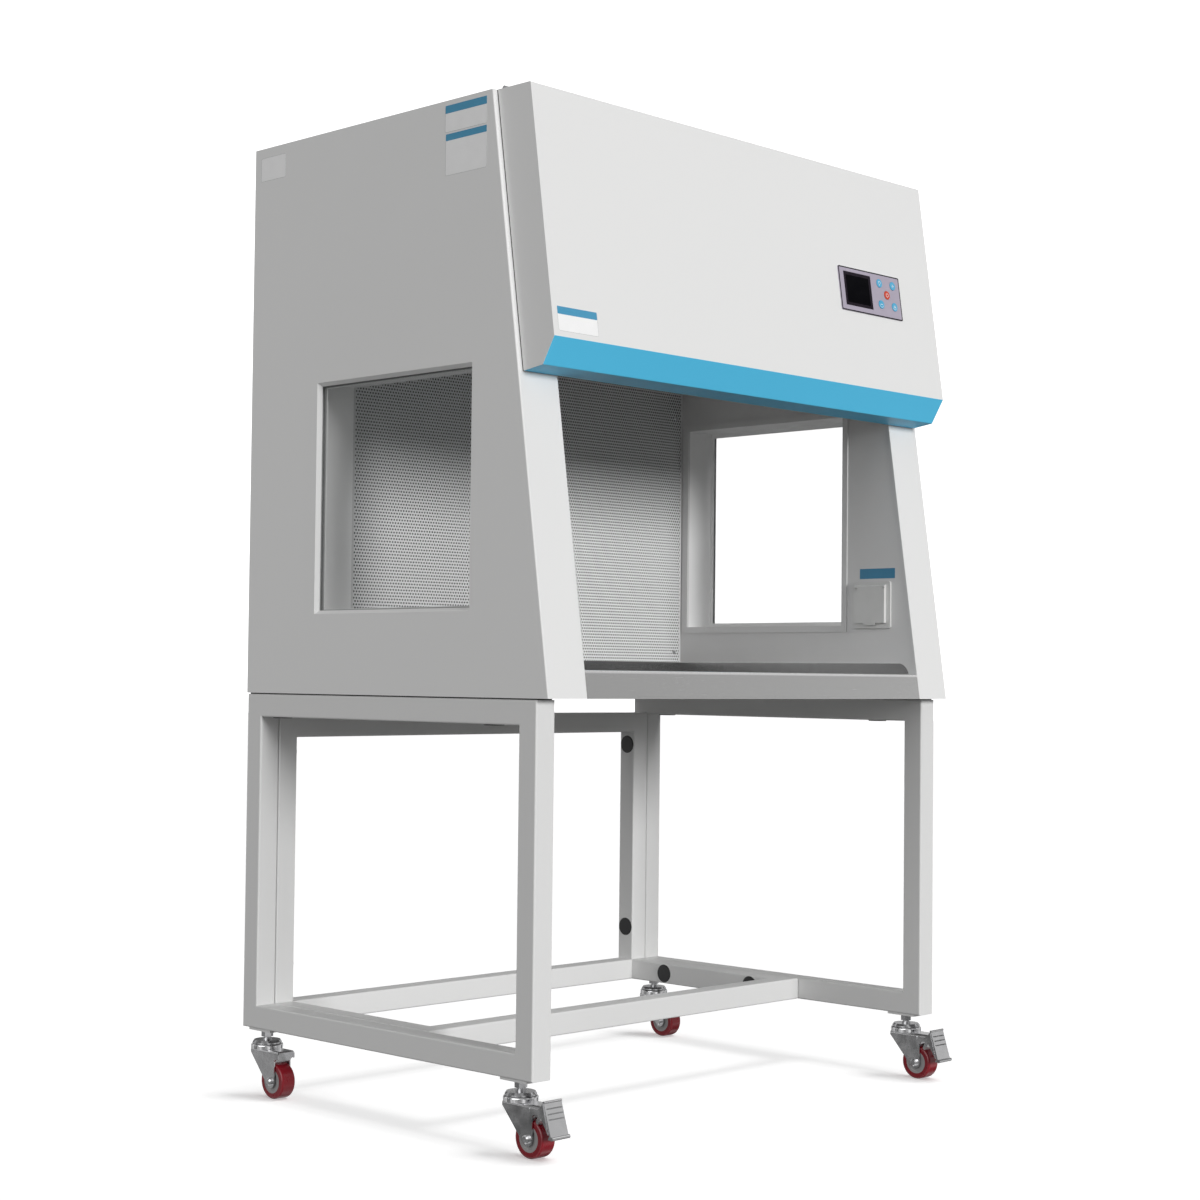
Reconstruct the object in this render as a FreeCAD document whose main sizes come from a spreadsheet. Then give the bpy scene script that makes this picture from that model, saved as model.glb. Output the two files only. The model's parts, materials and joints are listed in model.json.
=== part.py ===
"""Horizontal laminar flow cabinet on a wheeled stand, millimetres, +Z up.

The origin is on the floor under the middle of the whole object. +X is the operator's right,
the work opening faces -Y. `depth` always means the distance forward from the rear face.
"""
import FreeCAD, Part
import math
import os
import re

import Sketcher
from FreeCAD import Placement, Rotation, Vector

SIZES = {
    # cabinet shell
    "cabinet_width": 1040,
    "cabinet_height": 968,
    "base_depth": 765,
    "top_depth": 623,
    "sheet": 1.5,
    "seam": 0.3,
    "return_width": 20,
    "flange_width": 84.5,
    "corner_radius": 1.2,
    # work zone
    "wall_inset": 83,
    "window_depth_low": 186.5,
    "window_depth_high": 582,
    "window_sill": 137,
    "window_tall": 398,
    "bevel": 6,
    "trim_width": 12,
    "trim_proud": 2.5,
    "glass": 5,
    "gasket_wall": 1.4,
    "gasket_lip": 3,
    "diffuser_depth": 168,
    "deck_level": 627,
    "header_drop": 113,
    "work_level": 40,
    "lip_rise": 5,
    "upstand_rise": 26,
    "lip_width": 14,
    # filter
    "filter_thick": 69,
    "filter_wall": 15,
    "filter_gap": 5.3,
    "pleat_pitch": 20,
    "pleat_wall": 1,
    # hood
    "hood_inset": 8.6,
    "hood_run": 77,
    "hood_band_low": 518,
    "hood_band_high": 561,
    "band_setback": 25,
    "hood_bottom": 512,
    "seal": 2,
    "seal_width": 12,
    # hood hinges
    "hinge_length": 60,
    "knuckle": 4,
    "hinge_pin": 2,
    "pin_play": 0.05,
    "hinge_clear": 0.4,
    "hinge_leaf": 22,
    "hinge_spacing": 470,
    "hinge_forward": 4,
    # control panel
    "panel_x": 319,
    "panel_level": 739,
    "panel_width": 180,
    "panel_tall": 82,
    "panel_thick": 2,
    "panel_overlap": 6,
    "panel_frame": 10,
    "display_x": -36.7,
    "display_y": 1,
    "display_width": 79,
    "display_tall": 62.6,
    "display_thick": 3,
    "button_x": 48.5,
    "button_y": 2.8,
    "button_step": 20,
    "button_radius": 8,
    "button_play": 0.3,
    "button_proud": 1,
    "button_travel": 0.7,
    "board_thick": 1.6,
    "board_gap": 5,
    "post_radius": 3,
    # air intake
    "intake_width": 420,
    "intake_depth": 260,
    "intake_forward": 250,
    "intake_ledge": 10,
    "prefilter_thick": 20,
    "slot_width": 10,
    "slot_pitch": 24,
    # blower
    "blower_depth": 160,
    "blower_level": 795,
    "blower_half": 130,
    "wheel_outer": 85,
    "wheel_inner": 68,
    "wheel_half": 120,
    "wheel_ring": 4,
    "blade_wall": 1.5,
    "blade_curve": 22,
    "blade_count": 30,
    "scroll_radius": 104,
    "scroll_step": 18,
    "tongue_reach": 27,
    "outlet_front": 72,
    "inlet_radius": 64,
    "inlet_ring": 6,
    "rotor_radius": 46,
    "rotor_length": 58,
    "rotor_wall": 4,
    "shaft_radius": 6,
    "spider_wall": 2.7,
    "spider_width": 14,
    # lamps, socket, inlet
    "lamp_length": 600,
    "lamp_width": 30,
    "lamp_tall": 22,
    "lamp_setback": 18,
    "uv_length": 440,
    "uv_radius": 7.5,
    "uv_setback": 73,
    "uv_drop": 34,
    "socket_depth": 655,
    "socket_level": 175,
    "socket_size": 88,
    "socket_plate": 5,
    "socket_face": 46,
    "cover_width": 70,
    "cover_tall": 68,
    "cover_thick": 7,
    "cover_wall": 1.6,
    "cover_notch": 12,
    "cover_pin": 1.5,
    "tab_width": 26,
    "tab_drop": 4,
    "inlet_width": 48,
    "inlet_tall": 30,
    "inlet_body": 27,
    "inlet_flange": 1.6,
    "pin_pitch": 7,
    "screw_head": 4.2,
    "screw_rise": 2,
    "screw_shank": 2,
    # stand
    "tube": 40,
    "tube_wall": 2,
    "tube_corner": 3,
    "stand_height": 586,
    "stand_depth": 738,
    "stand_inset": 1.5,
    "frame_gap": 1,
    "cross_height": 549,
    "cross_depth": 448,
    "pad_thick": 2,
    "pad_inset": 4,
    "plug_radius": 18,
    "plug_rise": 1.8,
    "plug_skirt": 5,
    "plug_play": 0.3,
    "frame_bolt": 4,
    "bolt_high": 483,
    "bolt_low": 106,
    "bolt_rear": 130,
    "bolt_front": 358,
    "fixing_rear": 76,
    "fixing_front": 621,
    # casters
    "caster_height": 118,
    "caster_inset": 46,
    "trail": 33,
    "tread_radius": 31,
    "tread_width": 29,
    "tread_bore": 21,
    "tread_chamfer": 4,
    "axle": 4,
    "fork_half": 18,
    "fork_wall": 2.2,
    "fork_top": 84,
    "crown": 2.5,
    "boss": 11,
    "race_radius": 28,
    "race_tall": 8,
    "race_gap": 0.4,
    "kingpin": 6,
    "stem_play": 0.06,
    "neck": 8,
    "nut_flats": 18,
    "nut_tall": 10,
    "weld_plate": 4,
    "pedal_half": 19,
    "pedal_wall": 2.5,
    "pedal_reach": 58,
    "pedal_low": 37,
    "pedal_high": 93,
    "pedal_lean": 18,
    "pedal_lip": 3,
    "pivot_reach": 31,
    "pivot_level": 77,
    "pivot_pin": 3,
}

doc = FreeCAD.newDocument("laminar_flow_cabinet")
sheet_of_sizes = doc.addObject("Spreadsheet::Sheet", "Sizes")
for row, (alias, value) in enumerate(SIZES.items(), start=1):
    sheet_of_sizes.set("A%d" % row, alias)
    sheet_of_sizes.set("B%d" % row, str(value))
    sheet_of_sizes.setAlias("B%d" % row, alias)
doc.recompute()

WORDS = re.compile(r"\b(%s)\b" % "|".join(sorted(SIZES, key=len, reverse=True)))
PLANES = {"top": "XY_Plane", "front": "XZ_Plane", "side": "YZ_Plane"}
parts = {}


# Expressions

def cells(expression):
    """The expression with each size named in its spreadsheet."""
    return WORDS.sub(r"Sizes.\1", str(expression))


def number(expression):
    return float(sheet_of_sizes.evalExpression(cells(expression)))


def bind(item, prop, expression):
    item.setExpression(prop, cells(expression))


# the origin is midway between the rear screw heads and the toes of the brake pedals
REAR = "((stand_depth - caster_inset + trail + pedal_reach - screw_rise) / 2)"
HALF = "(cabinet_width / 2)"
STAND_TOP = "(caster_height + stand_height)"
BASE = f"({STAND_TOP} + pad_thick)"
TOP = f"({BASE} + cabinet_height)"
LEAN = "((base_depth - top_depth) / cabinet_height)"
WALL = f"({HALF} - wall_inset)"
DECK = f"({BASE} + deck_level)"
WORK = f"({BASE} + work_level)"


def at(depth):
    """The Y of a depth measured forward from the rear face."""
    return f"({REAR} - ({depth}))"


def front_depth(level):
    """How far forward the leaning front plane is at a height."""
    return f"(top_depth + {LEAN} * ({TOP} - ({level})))"


# Sketches and features

def origin_plane(body, plane):
    return next(f for f in body.Origin.OriginFeatures if f.Role == PLANES[plane])


def pin(sketch, places):
    """Pins sketch points to expressions; places holds (geometry, vertex, x, y)."""
    rules = []
    texts = []
    for geometry, vertex, x, y in places:
        for kind, text in (("DistanceX", x), ("DistanceY", y)):
            rules.append(Sketcher.Constraint(kind, -1, 1, geometry, vertex, number(text)))
            texts.append(text)
    first = sketch.ConstraintCount
    sketch.addConstraint(rules)
    for index, text in enumerate(texts, start=first):
        bind(sketch, "Constraints[%d]" % index, text)


def circle(x, y, radius):
    def draw(sketch):
        centre = Vector(number(x), number(y), 0)
        index = sketch.addGeometry(Part.Circle(centre, Vector(0, 0, 1), number(radius)))
        rule = sketch.addConstraint(Sketcher.Constraint("Radius", index, number(radius)))
        bind(sketch, "Constraints[%d]" % rule, radius)
        pin(sketch, [(index, 3, x, y)])
    return draw


def arc_between(start, end, radius):
    """The shorter arc from start to end; a positive radius has its centre on the left."""
    chord = end - start
    height = math.sqrt(max(radius * radius - chord.Length ** 2 / 4, 0))
    left = Vector(-chord.y, chord.x, 0).normalize()
    centre = start + chord * 0.5 + left * math.copysign(height, radius)
    bulge = (start + chord * 0.5 - centre)
    if bulge.Length < 1e-6:
        bulge = left * -math.copysign(1, radius)
    middle = centre + bulge.normalize() * abs(radius)
    return Part.Arc(start, middle, end)


def outline(*points):
    """A closed outline. Each point is (x, y), or (x, y, radius) to arc on to the next one."""
    def draw(sketch):
        spots = [Vector(number(p[0]), number(p[1]), 0) for p in points]
        count = len(points)
        first = sketch.GeometryCount
        pieces = []
        for i, point in enumerate(points):
            after = spots[(i + 1) % count]
            if len(point) == 3:
                pieces.append(arc_between(spots[i], after, number(point[2])))
            else:
                pieces.append(Part.LineSegment(spots[i], after))
        sketch.addGeometry(pieces)
        ends = []
        for i, point in enumerate(points):
            # an arc drawn clockwise keeps its start and end swapped
            swapped = len(point) == 3 and number(point[2]) < 0
            ends.append((2, 1) if swapped else (1, 2))
        rules = []
        for i in range(count):
            after = (i + 1) % count
            rules.append(Sketcher.Constraint("Coincident", first + i, ends[i][1],
                                             first + after, ends[after][0]))
        sketch.addConstraint(rules)
        pin(sketch, [(first + i, ends[i][0], p[0], p[1]) for i, p in enumerate(points)])
        for i, point in enumerate(points):
            if len(point) == 2:
                continue
            chord = spots[(i + 1) % count] - spots[i]
            if near(chord.Length, 2 * abs(number(point[2]))):
                # a half circle: its centre lies on the chord
                kind, text = ("DistanceY", point[1]) if near(chord.y, 0) else ("DistanceX", point[0])
                rule = sketch.addConstraint(
                    Sketcher.Constraint(kind, -1, 1, first + i, 3, number(text)))
            else:
                text = f"abs({point[2]})"
                rule = sketch.addConstraint(
                    Sketcher.Constraint("Radius", first + i, number(text)))
            bind(sketch, "Constraints[%d]" % rule, text)
    return draw


def box(x0, y0, x1, y1):
    return outline((x0, y0), (x1, y0), (x1, y1), (x0, y1))


def new_body(label):
    body = doc.addObject("PartDesign::Body", label)
    body.Label = label
    return body


def sketch_on(body, plane, start, loops):
    """A sketch on the body's own plane, at a place along that plane's normal."""
    sketch = body.newObject("Sketcher::SketchObject", body.Name + "_sketch")
    sketch.AttachmentSupport = [(origin_plane(body, plane), "")]
    sketch.MapMode = "FlatFace"
    bind(sketch, "AttachmentOffset.Base.z", f"-({start})" if plane == "front" else start)
    for draw in loops:
        draw(sketch)
    return sketch


def pad(body, plane, start, length, *loops):
    """Adds a prism that runs up, to the right or to the front from start."""
    feature = body.newObject("PartDesign::Pad", body.Name + "_pad")
    feature.Profile = sketch_on(body, plane, start, loops)
    bind(feature, "Length", length)
    return feature


def cut(body, plane, start, length, *loops):
    """Cuts a prism that runs up, to the right or to the front from start."""
    feature = body.newObject("PartDesign::Pocket", body.Name + "_cut")
    feature.Profile = sketch_on(body, plane, start, loops)
    feature.Reversed = True
    bind(feature, "Length", length)
    return feature


def spin(body, plane, start, axis, *loops):
    """Adds a solid of revolution about the sketch's own H_Axis or V_Axis."""
    feature = body.newObject("PartDesign::Revolution", body.Name + "_turned")
    profile = sketch_on(body, plane, start, loops)
    feature.Profile = profile
    feature.ReferenceAxis = (profile, [axis])
    feature.Angle = 360
    return feature


def round_edges(body, radius, chosen):
    """Fillets the edges of the body's tip that the test chooses."""
    doc.recompute()
    base = body.Tip
    names = ["Edge%d" % i for i, e in enumerate(base.Shape.Edges, start=1) if chosen(e)]
    feature = body.newObject("PartDesign::Fillet", body.Name + "_round")
    feature.Base = (base, names)
    bind(feature, "Radius", radius)
    return feature


def bevel_edges(body, size, chosen):
    doc.recompute()
    base = body.Tip
    names = ["Edge%d" % i for i, e in enumerate(base.Shape.Edges, start=1) if chosen(e)]
    feature = body.newObject("PartDesign::Chamfer", body.Name + "_bevel")
    feature.Base = (base, names)
    bind(feature, "Size", size)
    return feature


def near(a, b):
    return abs(a - b) < 0.01


def along(axis, *places):
    """Chooses straight edges along an axis that pass through any of the given places.

    Each place is (first, second) in the other two axes' order, as expressions.
    """
    others = [i for i in range(3) if i != axis]
    spots = [(number(a), number(b)) for a, b in places]

    def chosen(edge):
        if not edge.Curve.isDerivedFrom("Part::GeomLine"):
            return False
        first, last = edge.Vertexes[0].Point, edge.Vertexes[-1].Point
        if any(not near(first[i], last[i]) for i in others):
            return False
        return any(near(first[others[0]], a) and near(first[others[1]], b) for a, b in spots)
    return chosen


def place(body, x, y, z):
    bind(body, "Placement.Base.x", x)
    bind(body, "Placement.Base.y", y)
    bind(body, "Placement.Base.z", z)


def keep(label, *bodies):
    """Names a sub-part: one body, or a group of separate solids."""
    if len(bodies) == 1 and bodies[0].Label == label:
        parts[label] = bodies[0]
        return
    group = doc.addObject("Part::Compound", label)
    group.Label = label
    group.Links = list(bodies)
    parts[label] = group


def mirrored(side, inner, outer):
    """Start and length along X of a slab between two distances from the middle."""
    start = f"(-({outer}))" if side < 0 else f"({inner})"
    return start, f"(({outer}) - ({inner}))"


# Stand

def square_tube(label, plane, start, span, outer, inward, mitres, lengthwise):
    """One square tube of the stand, mitred where it meets the next.

    It runs over span, has its outer face at `outer` and its inner face `inward` of it.
    lengthwise is 0 when it runs along the sketch's first axis and 1 along the second.
    """
    low, high = span
    end_low, end_high = mitres
    body = new_body(label)

    def corners(near_side, far_side):
        points = [
            (f"{low} + {end_low} * ({near_side})", f"{outer} + ({inward}) * ({near_side})"),
            (f"{high} - {end_high} * ({near_side})", f"{outer} + ({inward}) * ({near_side})"),
            (f"{high} - {end_high} * ({far_side})", f"{outer} + ({inward}) * ({far_side})"),
            (f"{low} + {end_low} * ({far_side})", f"{outer} + ({inward}) * ({far_side})"),
        ]
        return points if lengthwise == 0 else [(b, a) for a, b in points]

    pad(body, plane, start, "tube", outline(*corners("0", "tube")))
    axis = {"side": (1, 2), "front": (0, 2), "top": (0, 1)}[plane][lengthwise]
    normal = {"side": 0, "front": 1, "top": 2}[plane]
    across = 3 - axis - normal
    face_a = f"{outer}"
    face_b = f"{outer} + ({inward}) * tube"
    near_n = number(start)
    far_n = near_n - number("tube") if plane == "front" else near_n + number("tube")
    faces = (number(face_a), number(face_b))

    def long_corner(edge):
        ends = [v.Point for v in edge.Vertexes]
        if not near(ends[0][across], ends[-1][across]) or not near(ends[0][normal], ends[-1][normal]):
            return False
        on_face = any(near(ends[0][across], f) for f in faces)
        return on_face and any(near(ends[0][normal], f) for f in (near_n, far_n))

    round_edges(body, "tube_corner", long_corner)
    inner_start = f"({start}) - tube_wall" if plane == "front" else f"({start}) + tube_wall"
    cut(body, plane, inner_start, "tube - 2 * tube_wall",
        outline(*corners("tube_wall", "tube - tube_wall")))
    return body


OUTER_FRAME = f"({HALF} - stand_inset)"
INNER_FRAME = f"({OUTER_FRAME} - tube)"
CROSS_HALF = f"({INNER_FRAME} - frame_gap)"
CROSS_INNER = f"({CROSS_HALF} - tube)"
STEM_X = f"({OUTER_FRAME} - tube / 2)"
STEM_DEPTHS = {"rear": "caster_inset", "front": "(stand_depth - caster_inset)"}
SIDES = (("left", -1), ("right", 1))
# height and depth of each joint between a side frame and the cross frame
BOLTS = (
    ("post", "tube / 2", "caster_height + bolt_high"),
    ("post", "tube / 2", "caster_height + bolt_low"),
    ("rail", "bolt_rear", "caster_height + tube / 2"),
    ("rail", "bolt_front", "caster_height + tube / 2"),
)

# depth of each bolt that holds the cabinet down on the side frames
FIXINGS = ("fixing_rear", "fixing_front")
FIXING_HOLE = "(frame_bolt + plug_play)"
PLUG_HOLE = "(plug_radius - plug_rise)"


def side_frame(name, side):
    start, _ = mirrored(side, INNER_FRAME, OUTER_FRAME)
    span_y = (at("stand_depth"), at("0"))
    span_z = ("caster_height", STAND_TOP)
    mitre = ("1", "1")
    tubes = {
        "bottom": square_tube(f"{name}_bottom_rail", "side", start, span_y, "caster_height", "1", mitre, 0),
        "top": square_tube(f"{name}_top_rail", "side", start, span_y, STAND_TOP, "-1", mitre, 0),
        "rear": square_tube(f"{name}_rear_post", "side", start, span_z, at("0"), "-1", mitre, 1),
        "front": square_tube(f"{name}_front_post", "side", start, span_z, at("stand_depth"), "1", mitre, 1),
    }
    inner_face = INNER_FRAME if side > 0 else f"(-{INNER_FRAME} - tube_wall)"
    for kind, depth, level in BOLTS:
        target = tubes["rear" if kind == "post" else "bottom"]
        cut(target, "side", inner_face, "tube_wall", circle(at(depth), level, FIXING_HOLE))
    for depth in FIXINGS:
        centre = (f"{side} * {STEM_X}", at(depth))
        cut(tubes["top"], "top", f"{STAND_TOP} - tube_wall", "tube_wall", circle(*centre, FIXING_HOLE))
        cut(tubes["top"], "top", f"{STAND_TOP} - tube", "tube_wall", circle(*centre, PLUG_HOLE))
    plates = []
    for end, depth in STEM_DEPTHS.items():
        plate = new_body(f"{name}_{end}_weld_plate")
        left, width = mirrored(side, f"{INNER_FRAME} + tube_corner", f"{OUTER_FRAME} - tube_corner")
        pad(plate, "top", "caster_height - weld_plate", "weld_plate",
            box(left, at(f"{depth} + tube * 3 / 4"), f"{left} + {width}", at(f"{depth} - tube * 3 / 4")),
            circle(f"{side} * {STEM_X}", at(depth), "kingpin + stem_play"))
        plates.append(plate)
    keep(name, *tubes.values(), *plates)


def cross_frame():
    """The inner frame: a rectangle at the rear and a U of rails at the bottom."""
    span_x = (f"-{CROSS_HALF}", CROSS_HALF)
    high = "caster_height + cross_height"
    span_z = ("caster_height", high)
    rear = at("0")
    mitre = ("1", "1")
    tubes = [
        square_tube("cross_top_rail", "front", rear, span_x, high, "-1", mitre, 0),
        square_tube("cross_bottom_rail", "front", rear, span_x, "caster_height", "1", mitre, 0),
        square_tube("cross_left_post", "front", rear, span_z, f"-{CROSS_HALF}", "1", mitre, 1),
        square_tube("cross_right_post", "front", rear, span_z, CROSS_HALF, "-1", mitre, 1),
        square_tube("cross_front_rail", "top", "caster_height", span_x, at("cross_depth"), "1", mitre, 0),
    ]
    span_y = (at("cross_depth"), at("tube"))
    for name, side in SIDES:
        tubes.append(square_tube(f"cross_{name}_rail", "top", "caster_height", span_y,
                                 f"{side} * {CROSS_HALF}", str(-side), ("1", "0"), 1))
    posts = {"left": tubes[2], "right": tubes[3]}
    rails = {"left": tubes[5], "right": tubes[6]}
    for name, side in SIDES:
        outer_wall = f"{CROSS_HALF} - tube_wall" if side > 0 else f"-{CROSS_HALF}"
        inner_wall = CROSS_INNER if side > 0 else f"(-{CROSS_INNER} - tube_wall)"
        for kind, depth, level in BOLTS:
            target = (posts if kind == "post" else rails)[name]
            cut(target, "side", outer_wall, "tube_wall", circle(at(depth), level, FIXING_HOLE))
            cut(target, "side", inner_wall, "tube_wall", circle(at(depth), level, PLUG_HOLE))
    keep("cross_frame", *tubes)


def hold_down_bolt(name, x, depth):
    """From inside the top rail up through the strip into the cabinet's base."""
    bolt = new_body(name)
    seat = f"({STAND_TOP} - tube_wall)"
    spin(bolt, "side", "0", "V_Axis", outline(
        ("0", f"{seat} - frame_bolt"), ("frame_bolt * 1.8", f"{seat} - frame_bolt"),
        ("frame_bolt * 1.8", seat), ("frame_bolt", seat), ("frame_bolt", f"{BASE} + sheet"),
        ("0", f"{BASE} + sheet")))
    place(bolt, x, at(depth), "0")
    return bolt


def rail_plug(name, x, depth):
    """The plug that closes the access hole under the top rail."""
    plug = new_body(name)
    seat = f"({STAND_TOP} - tube)"
    skirt = "plug_radius - plug_rise - plug_play"
    spin(plug, "side", "0", "V_Axis", outline(
        ("0", f"{seat} - plug_rise"), ("plug_radius - plug_rise", f"{seat} - plug_rise"),
        ("plug_radius", seat), (skirt, seat), (skirt, f"{seat} + plug_skirt"),
        ("0", f"{seat} + plug_skirt")))
    place(plug, x, at(depth), "0")
    return plug


def frame_fasteners():
    bolts = []
    plugs = []
    for name, side in SIDES:
        for number_of, (kind, depth, level) in enumerate(BOLTS, start=1):
            bolt = new_body(f"{name}_{kind}_bolt_{number_of}")
            # along X: head inside the cross frame, nut inside the side frame
            head = f"{side} * (tube_wall + frame_gap / 2)"
            tip = f"{side} * (tube_wall + frame_gap / 2 + frame_bolt)"
            spin(bolt, "top", "0", "H_Axis",
                 outline((f"-({tip})", "0"), (tip, "0"), (tip, "frame_bolt * 1.8"),
                         (head, "frame_bolt * 1.8"), (head, "frame_bolt"),
                         (f"-({head})", "frame_bolt"), (f"-({head})", "frame_bolt * 1.8"),
                         (f"-({tip})", "frame_bolt * 1.8")))
            place(bolt, f"{side} * ({CROSS_HALF} + frame_gap / 2)", at(depth), level)
            bolts.append(bolt)
            plug = new_body(f"{name}_{kind}_plug_{number_of}")
            inside = f"{side} * plug_skirt"
            outside = f"{side} * (-plug_rise)"
            spin(plug, "top", "0", "H_Axis",
                 outline((inside, "0"), (outside, "0"), (outside, "plug_radius - plug_rise"),
                         ("0", "plug_radius"), ("0", "plug_radius - plug_rise - plug_play"),
                         (inside, "plug_radius - plug_rise - plug_play")))
            place(plug, f"{side} * {CROSS_INNER}", at(depth), level)
            plugs.append(plug)
        for depth in FIXINGS:
            x = f"{side} * {STEM_X}"
            bolts.append(hold_down_bolt(f"{name}_{depth}_bolt", x, depth))
            plugs.append(rail_plug(f"{name}_{depth}_plug", x, depth))
    keep("frame_bolts", *bolts)
    keep("frame_plugs", *plugs)


def cabinet_pads():
    """A rubber strip between each side frame and the cabinet's base."""
    strips = []
    for name, side in SIDES:
        body = new_body(f"{name}_strip")
        left, width = mirrored(side, f"{INNER_FRAME} + tube_corner", f"{OUTER_FRAME} - tube_corner")
        holes = [circle(f"{side} * {STEM_X}", at(depth), FIXING_HOLE) for depth in FIXINGS]
        pad(body, "top", STAND_TOP, "pad_thick",
            box(left, at("stand_depth - pad_inset"), f"{left} + {width}", at("pad_inset")), *holes)
        strips.append(body)
    keep("cabinet_pads", *strips)


# Casters

AXLE_Z = "tread_radius"
CROWN_TOP = "fork_top"
RACE_TOP = "(fork_top + race_tall)"
STEM_TOP = "(caster_height - seam)"


def stem(name, x, depth):
    """Kingpin rivet, upper race, neck and lock nut of one caster."""
    body = new_body(f"{name}_stem")
    race_low = f"({RACE_TOP} + race_gap)"
    race_high = f"({race_low} + race_tall * 3 / 4)"
    head_top = "(fork_top - crown - race_gap)"
    spin(body, "side", "0", "V_Axis", outline(
        ("0", f"{head_top} - crown"), ("kingpin + 3 * crown / 2", f"{head_top} - crown"),
        ("kingpin + 3 * crown / 2", head_top), ("kingpin", head_top), ("kingpin", race_low),
        ("race_radius - crown", race_low), ("race_radius - crown", f"{race_low} + crown"),
        ("race_radius - 2 * crown", race_high), ("neck", race_high),
        ("neck", f"{race_high} + crown"), ("kingpin", f"{race_high} + crown"),
        ("kingpin", STEM_TOP), ("0", STEM_TOP)))
    half = "nut_flats / 2"
    point = "nut_flats / sqrt(3)"
    side_half = "nut_flats / sqrt(12)"
    pad(body, "top", "caster_height - weld_plate - seam - nut_tall", "nut_tall", outline(
        (half, f"-({side_half})"), (half, side_half), ("0", point), (f"-({half})", side_half),
        (f"-({half})", f"-({side_half})"), ("0", f"-({point})")))
    place(body, x, at(depth), "0")
    return body


def fork(name, x, depth, braked):
    """A pressed fork: raceway cup, crown and two cheeks that hold the axle bolt."""
    body = new_body(f"{name}_yoke")
    reach = "(pivot_reach + trail + 2 * pivot_pin)" if braked else "(trail + boss * 2)"
    shoulder = "(pivot_level - 2 * pivot_pin)"
    axle_y = "-trail"
    cheek = outline(
        ("race_radius - 2 * crown", "fork_top"),
        ("race_radius - 2 * crown", f"{shoulder} + 2 * crown"),
        (f"{axle_y} + boss * cos(30)", "tread_radius - boss * sin(30)", "-boss"),
        (f"{axle_y} - boss", "tread_radius"),
        (f"{axle_y} - boss", f"{shoulder} - 3 * crown", "3 * crown"),
        (f"{axle_y} - boss - 3 * crown", shoulder),
        (f"-({reach})", shoulder),
        (f"-({reach})", "fork_top - 2 * crown"),
        (f"-({reach}) + crown", "fork_top"))
    pad(body, "side", "-fork_half", "2 * fork_half", cheek)
    round_edges(body, "crown + fork_wall",
                lambda e: near(abs(e.Vertexes[0].Point.x), number("fork_half"))
                and near(e.Vertexes[0].Point.z, number("fork_top"))
                and near(e.Vertexes[-1].Point.z, number("fork_top"))
                and near(e.Vertexes[0].Point.x, e.Vertexes[-1].Point.x))
    inside = "(fork_half - fork_wall)"
    cut(body, "front", "2 * race_radius", "4 * race_radius + trail",
        box(f"-{inside}", "0", inside, "fork_top - crown"))
    pad(body, "top", "fork_top", "race_tall", circle("0", "0", "race_radius"))
    round_edges(body, "crown", lambda e: near(e.BoundBox.ZMin, number(RACE_TOP))
                and near(e.BoundBox.ZMax, number(RACE_TOP)))
    cut(body, "top", "fork_top - crown", "race_tall + crown", circle("0", "0", "kingpin + stem_play"))
    holes = [circle(axle_y, AXLE_Z, "axle + stem_play")]
    if braked:
        holes.append(circle("-(trail + pivot_reach)", "pivot_level", "pivot_pin + stem_play"))
    cut(body, "side", "-fork_half", "2 * fork_half", *holes)
    if braked:
        pad(body, "side", "-fork_half - pivot_pin / 3", "2 * (fork_half + pivot_pin / 3)",
            circle("-(trail + pivot_pin)", "pivot_level", "pivot_pin"))
    place(body, x, at(depth), "0")
    bolt = new_body(f"{name}_axle_bolt")
    head = "(fork_half + 0.9 * axle)"
    spin(bolt, "top", "0", "H_Axis", outline(
        (f"-{head} - axle / 2", "0"), (f"{head} + axle", "0"), (f"{head} + axle", "axle * 1.2"),
        (f"{head}", "axle * 1.7"), ("fork_half", "axle * 1.7"), ("fork_half", "axle"),
        ("-fork_half", "axle"), ("-fork_half", "axle * 1.7"), (f"-{head}", "axle * 1.7"),
        (f"-{head} - axle / 2", "axle * 1.2")))
    place(bolt, x, f"{at(depth)} - trail", AXLE_Z)
    keep(f"{name}_fork", body, bolt)


def wheel(name, x, depth):
    hub = new_body(f"{name}_hub")
    tip = "(fork_half - fork_wall - seam)"
    rim = "(tread_width / 2 - seam)"
    web = "(tread_width / 2 - 2)"
    spin(hub, "top", "0", "H_Axis", outline(
        (f"-{tip}", "axle + stem_play"), (tip, "axle + stem_play"), (tip, "axle * 2"),
        (web, "axle * 2"), (web, "tread_bore * 3 / 4"), (rim, "tread_bore * 4 / 5"),
        (rim, "tread_bore"), (f"-{rim}", "tread_bore"), (f"-{rim}", "tread_bore * 4 / 5"),
        (f"-{web}", "tread_bore * 3 / 4"), (f"-{web}", "axle * 2"), (f"-{tip}", "axle * 2")))
    tread = new_body(f"{name}_tread")
    half = "(tread_width / 2)"
    spin(tread, "top", "0", "H_Axis", outline(
        (f"-{half}", "tread_bore"), (half, "tread_bore"),
        (half, "tread_radius - tread_chamfer", "tread_chamfer"),
        (f"{half} - tread_chamfer", "tread_radius"),
        (f"-{half} + tread_chamfer", "tread_radius", "tread_chamfer"),
        (f"-{half}", "tread_radius - tread_chamfer")))
    for body in (hub, tread):
        place(body, x, f"{at(depth)} - trail", AXLE_Z)
    keep(f"{name}_hub", hub)
    keep(f"{name}_tread", tread)


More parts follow.
